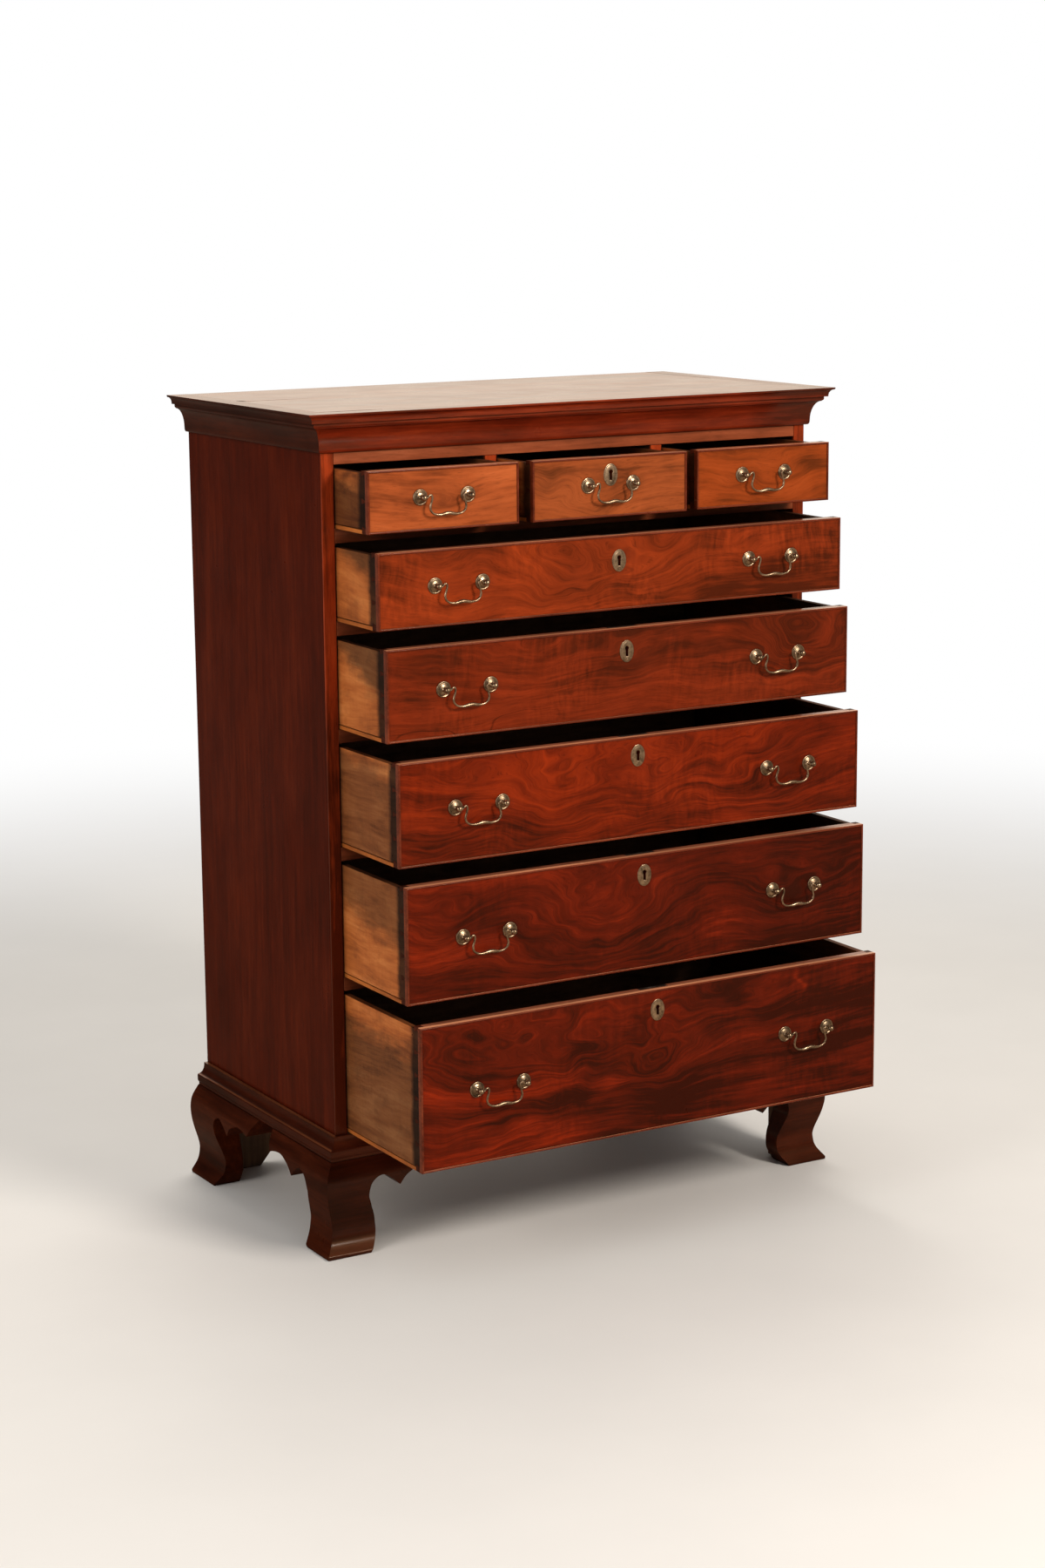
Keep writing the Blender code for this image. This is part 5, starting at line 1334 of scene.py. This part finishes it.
fittings = {
    "rosette": ((0.0, 0.0), (0.0135, 0.0), (0.0135, 0.0007), (0.0131, 0.0013), (0.0122, 0.0016),
                (0.0112, 0.0014), (0.0105, 0.0008), (0.01, 0.0008), (0.0093, 0.0013), (0.0078, 0.0022),
                (0.0062, 0.0028), (0.0048, 0.003), (0.0042, 0.0033), (0.004, 0.004), (0.0034, 0.0046),
                (0.0029, 0.0056), (0.0028, 0.0078), (0.0032, 0.0088), (0.0034, 0.0094), (0.003, 0.0104),
                (0.0, 0.0106)),
    "ball": 0.0052, "ballSteps": 12, "hole": 0.0023, "holeBehind": 0.001, "postSink": 0.00005,
    "washer": ((0, 0), (0.0082, 0), (0.0082, 0.0007), (0, 0.0007)),
    "nutRadius": 0.0055, "nutSpan": (0.0008, 0.0024),
    "boltTip": ((0, 0.0024), (0.0019, 0.0024), (0.0017, 0.003), (0, 0.003)),
    "bail": ((44.9, 0.0, 1.6), (38.3, 0.0, 1.6), (36.9, 1.6, 1.75), (35.0, 3.2, 1.85), (32.6, 4.0, 1.85),
             (30.6, 3.0, 1.8), (29.6, 0.0, 1.8), (30.3, -4.9, 1.75), (32.3, -11.0, 1.8), (33.4, -16.8, 1.9),
             (31.6, -22.6, 1.9), (26.2, -27.0, 1.9), (20.0, -28.6, 2.0), (13.6, -28.9, 2.45),
             (7.4, -27.9, 3.05), (2.4, -27.1, 3.2)),  # half of it, in mm: across, up and the wire's radius
    "wireSteps": 4, "wireSides": 14,
    "plate": (0.014, 0.019), "plateRise": 0.0012, "plateSteps": 48, "plateKeyhole": (0.0038, 0.0024, 0.018),
    "plateSection": ((0.0, 0.85), (0.04, 1.0), (0.3, 0.98), (0.55, 0.86), (0.7, 0.66), (0.76, 0.55),
                     (0.82, 0.62), (0.92, 0.6), (0.98, 0.4), (1.0, 0.1), (1.0, -0.04), (0.0, -0.04)),
    "lockClearance": 0.0004, "lockKeyhole": (0.003, 0.0016, 0.0156), "lockKeyholeDepth": 0.0025,
    "capInset": (0.003, 0.002, 0.004), "capCorner": 0.004, "capSpan": (0.0001, 0.0011),
    "rivetInset": (0.005, 0.006, 0.005),
    "lockEdge": 0.0004, "capEdge": 0.0003, "boltEdge": 0.0005,
    "nails": {"platePin": (0.0012, 0.0006), "rivet": (0.0016, 0.0006), "sideNail": (0.0016, 0.0004)},
    "sink": 0.0001, "platePinRise": 0.8, "wireSharp": 50, "plateSharp": 50, "studSharp": (38, 40),
}


def makePostStud():
    work = addLathe(bmesh.new(), fittings["rosette"], (0, -1, 0), steps=32)
    ball, hole, behind, steps = (fittings[key] for key in ("ball", "hole", "holeBehind", "ballSteps"))
    mouth = math.asin(hole / ball)
    turns = [math.pi - (math.pi - mouth) * k / steps for k in range(1, steps + 1)]
    profile = [(0.0, -ball)] + [(ball * math.sin(t), ball * math.cos(t)) for t in turns]
    profile += [(hole, ball * 0.5), (hole, -behind), (0.0, -behind)]
    addLathe(work, profile, (1, 0, 0), (0, -drawers["postReach"], 0))
    return toObject("postStud", work, fittings["studSharp"][0])


def makeNutStud():
    work = addLathe(bmesh.new(), fittings["washer"], (0, 1, 0), steps=18)
    corners = [math.pi / 4 + math.pi / 2 * k for k in range(4)]
    radius = fittings["nutRadius"]
    addPrism(work, [(radius * math.cos(t), radius * math.sin(t)) for t in corners], *fittings["nutSpan"], "Y")
    addLathe(work, fittings["boltTip"], (0, 1, 0), steps=10)
    return toObject("nutStud", work, fittings["studSharp"][1])


def makeHandles(drawer, postStud, nutStud):
    name, half, pivot = drawer.name, drawers["postSpacing"] / 2, drawer.pivot
    across = [centre + side * half for centre in drawer.grips.values() for side in (-1, 1)]
    posts = [(x, drawer.face - fittings["postSink"], pivot) for x in across]
    studPiece(name + "_posts", postStud, posts, name, agedBrass, drawer.front, 3,
              headings=[(0.0, math.pi * (i % 2), 0.0) for i in range(len(across))])
    studPiece(name + "_nuts", nutStud, [(x, drawer.deep + fittings["sink"], pivot) for x in across], name,
              lockIron, drawer.front, 5 + len(across), 0.0, 1.4)
    line = [(x / 1000, z / 1000, radius / 1000) for x, z, radius in fittings["bail"]]
    line += [(-x, z, radius) for x, z, radius in reversed(line)]
    for node, centre in drawer.grips.items():
        wire = grow(node + "_wire", wireTree,
                    {"Steps": fittings["wireSteps"], "Sides": fittings["wireSides"], "Finish": agedBrass},
                    [(centre + x, drawer.face - drawers["postReach"], pivot + z) for x, z, radius in line],
                    [(i, i + 1) for i in range(len(line) - 1)], thickness=[radius for x, z, radius in line])
        wire.data.set_sharp_from_angle(angle=math.radians(fittings["wireSharp"]))
        finishPiece(wire, node, agedBrass, node)


def reachAt(outline, turn):
    # how far a ray from the middle goes before it crosses the outline
    ray = (math.cos(turn), math.sin(turn))
    best = 0.0
    for (a, b), (c, e) in zip(outline, outline[1:] + outline[:1]):
        across = ray[0] * (e - b) - ray[1] * (c - a)
        if abs(across) < 1e-12:
            continue
        far = (a * (e - b) - b * (c - a)) / across
        share = (a * ray[1] - b * ray[0]) / across
        if far > 0 and -1e-6 <= share <= 1 + 1e-6:
            best = max(best, far)
    return best


def makePlate(drawer, pinStud):
    # domed oval plate, its keyhole and two pins
    name, middle, face = drawer.name, drawer.middle, drawer.face
    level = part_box(name + "_lock")[0].z + drawers["keyholeLevel"]
    hole = keyholeOutline(*fittings["plateKeyhole"], 24)
    (wide, high), steps, rise = fittings["plate"], fittings["plateSteps"], fittings["plateRise"]
    turns = [2 * math.pi * k / steps for k in range(steps)]
    turns = sorted(turns + [math.atan2(z, x) % (2 * math.pi) for x, z in hole[-2:]])
    inner = [(reachAt(hole, t) * math.cos(t), reachAt(hole, t) * math.sin(t)) for t in turns]
    reaches = [wide * high / math.hypot(high * math.cos(t), wide * math.sin(t)) for t in turns]
    outer = [(reach * math.cos(t), reach * math.sin(t)) for reach, t in zip(reaches, turns)]
    work = bmesh.new()
    rings = [[work.verts.new((middle + a + (b - a) * share, face - rise * lift, level + c + (e - c) * share))
              for (a, c), (b, e) in zip(inner, outer)] for share, lift in fittings["plateSection"]]
    for ring, following in zip(rings, rings[1:] + rings[:1]):
        bridge(work, ring, following)
    finishPiece(toObject(name + "_escutcheon", work, fittings["plateSharp"]), name, agedBrass, drawer.front)
    pinLevel = (high + fittings["plateKeyhole"][2] / 2) / 2
    pinFace = face - rise * fittings["platePinRise"]
    spots = [(middle, pinFace, level + side * pinLevel) for side in (1, -1)]
    studPiece(name + "_plate_pins", pinStud, spots, name, agedBrass, drawer.front, 2, 0.1, 0.5)


def makeLock(drawer, rivetStud):
    name, middle, clear = drawer.name, drawer.middle, fittings["lockClearance"]
    node, bolt = name + "_lock", name + "_lock_bolt"
    (low, high), (boltLow, boltHigh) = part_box(node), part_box(bolt)
    body = toObject(name + "_lock_case", boxes([(low, high)]))
    cutter = boxes([([edge - clear for edge in boltLow],
                     (boltHigh.x + clear, boltHigh.y + clear, high.z + overrun))])
    keyhole = moved(keyholeOutline(*fittings["lockKeyhole"]), middle, low.z + drawers["keyholeLevel"])
    addPrism(cutter, keyhole, low.y - overrun, low.y + fittings["lockKeyholeDepth"], "Y")
    finishPiece(carve(body, cutter), name, lockIron, node, fittings["lockEdge"])

    (inset, foot, head), corner = fittings["capInset"], fittings["capCorner"]
    left, right, bottom, top = low.x + inset, high.x - inset, low.z + foot, high.z - head
    outline = ((left + corner, bottom), (right - corner, bottom), (right, bottom + corner), (right, top),
               (left, top), (left, bottom + corner))
    start, end = (high.y + reach for reach in fittings["capSpan"])
    cap = toObject(name + "_lock_cap", addPrism(bmesh.new(), outline, start, end, "Y"))
    finishPiece(cap, name, lockIron, node, fittings["capEdge"])
    inset, foot, head = fittings["rivetInset"]
    spots = [(x, end, z) for x in (left + inset, right - inset) for z in (bottom + foot, top - head)]
    studPiece(name + "_lock_rivets", rivetStud, spots, name, lockIron, node, 6, 0.0, 1.0, backwards)
    boardPiece(name + "_lock_bolt_bar", [(boltLow, boltHigh)], bolt, lockIron, bolt, fittings["boltEdge"])


def makeDrawers():
    postStud, nutStud = makePostStud(), makeNutStud()
    pinStud, rivetStud, sideNail = (nailStud(key, *size) for key, size in fittings["nails"].items())
    for name, look in frontLooks.items():
        drawer = measure(name)
        wide, tall = 2 * drawer.half, drawer.high - drawer.low
        left = drawer.middle - drawer.half
        spots = [(left + u * wide, drawer.low + v * tall, w * wide, h * tall, rise, tone)
                 for u, v, w, h, rise, tone in look["spots"]]
        wood = mahogany(name + "Figure", "X", slot="front_wood", waxed=drawers["waxed"],
                        **{**look, "spots": spots})
        makeFrontBoard(drawer, wood)
        makePins(drawer)
        makeCockbead(drawer)
        makeSidePair(drawer)
        makeBackAndBottom(drawer)
        makeHandles(drawer, postStud, nutStud)
        if drawer.lock:
            makePlate(drawer, pinStud)
            makeLock(drawer, rivetStud)
        nailSides(drawer, sideNail)
        print(name, "made")
    for stud in (postStud, nutStud, pinStud, rivetStud, sideNail):
        drop(stud)


makeDrawers()
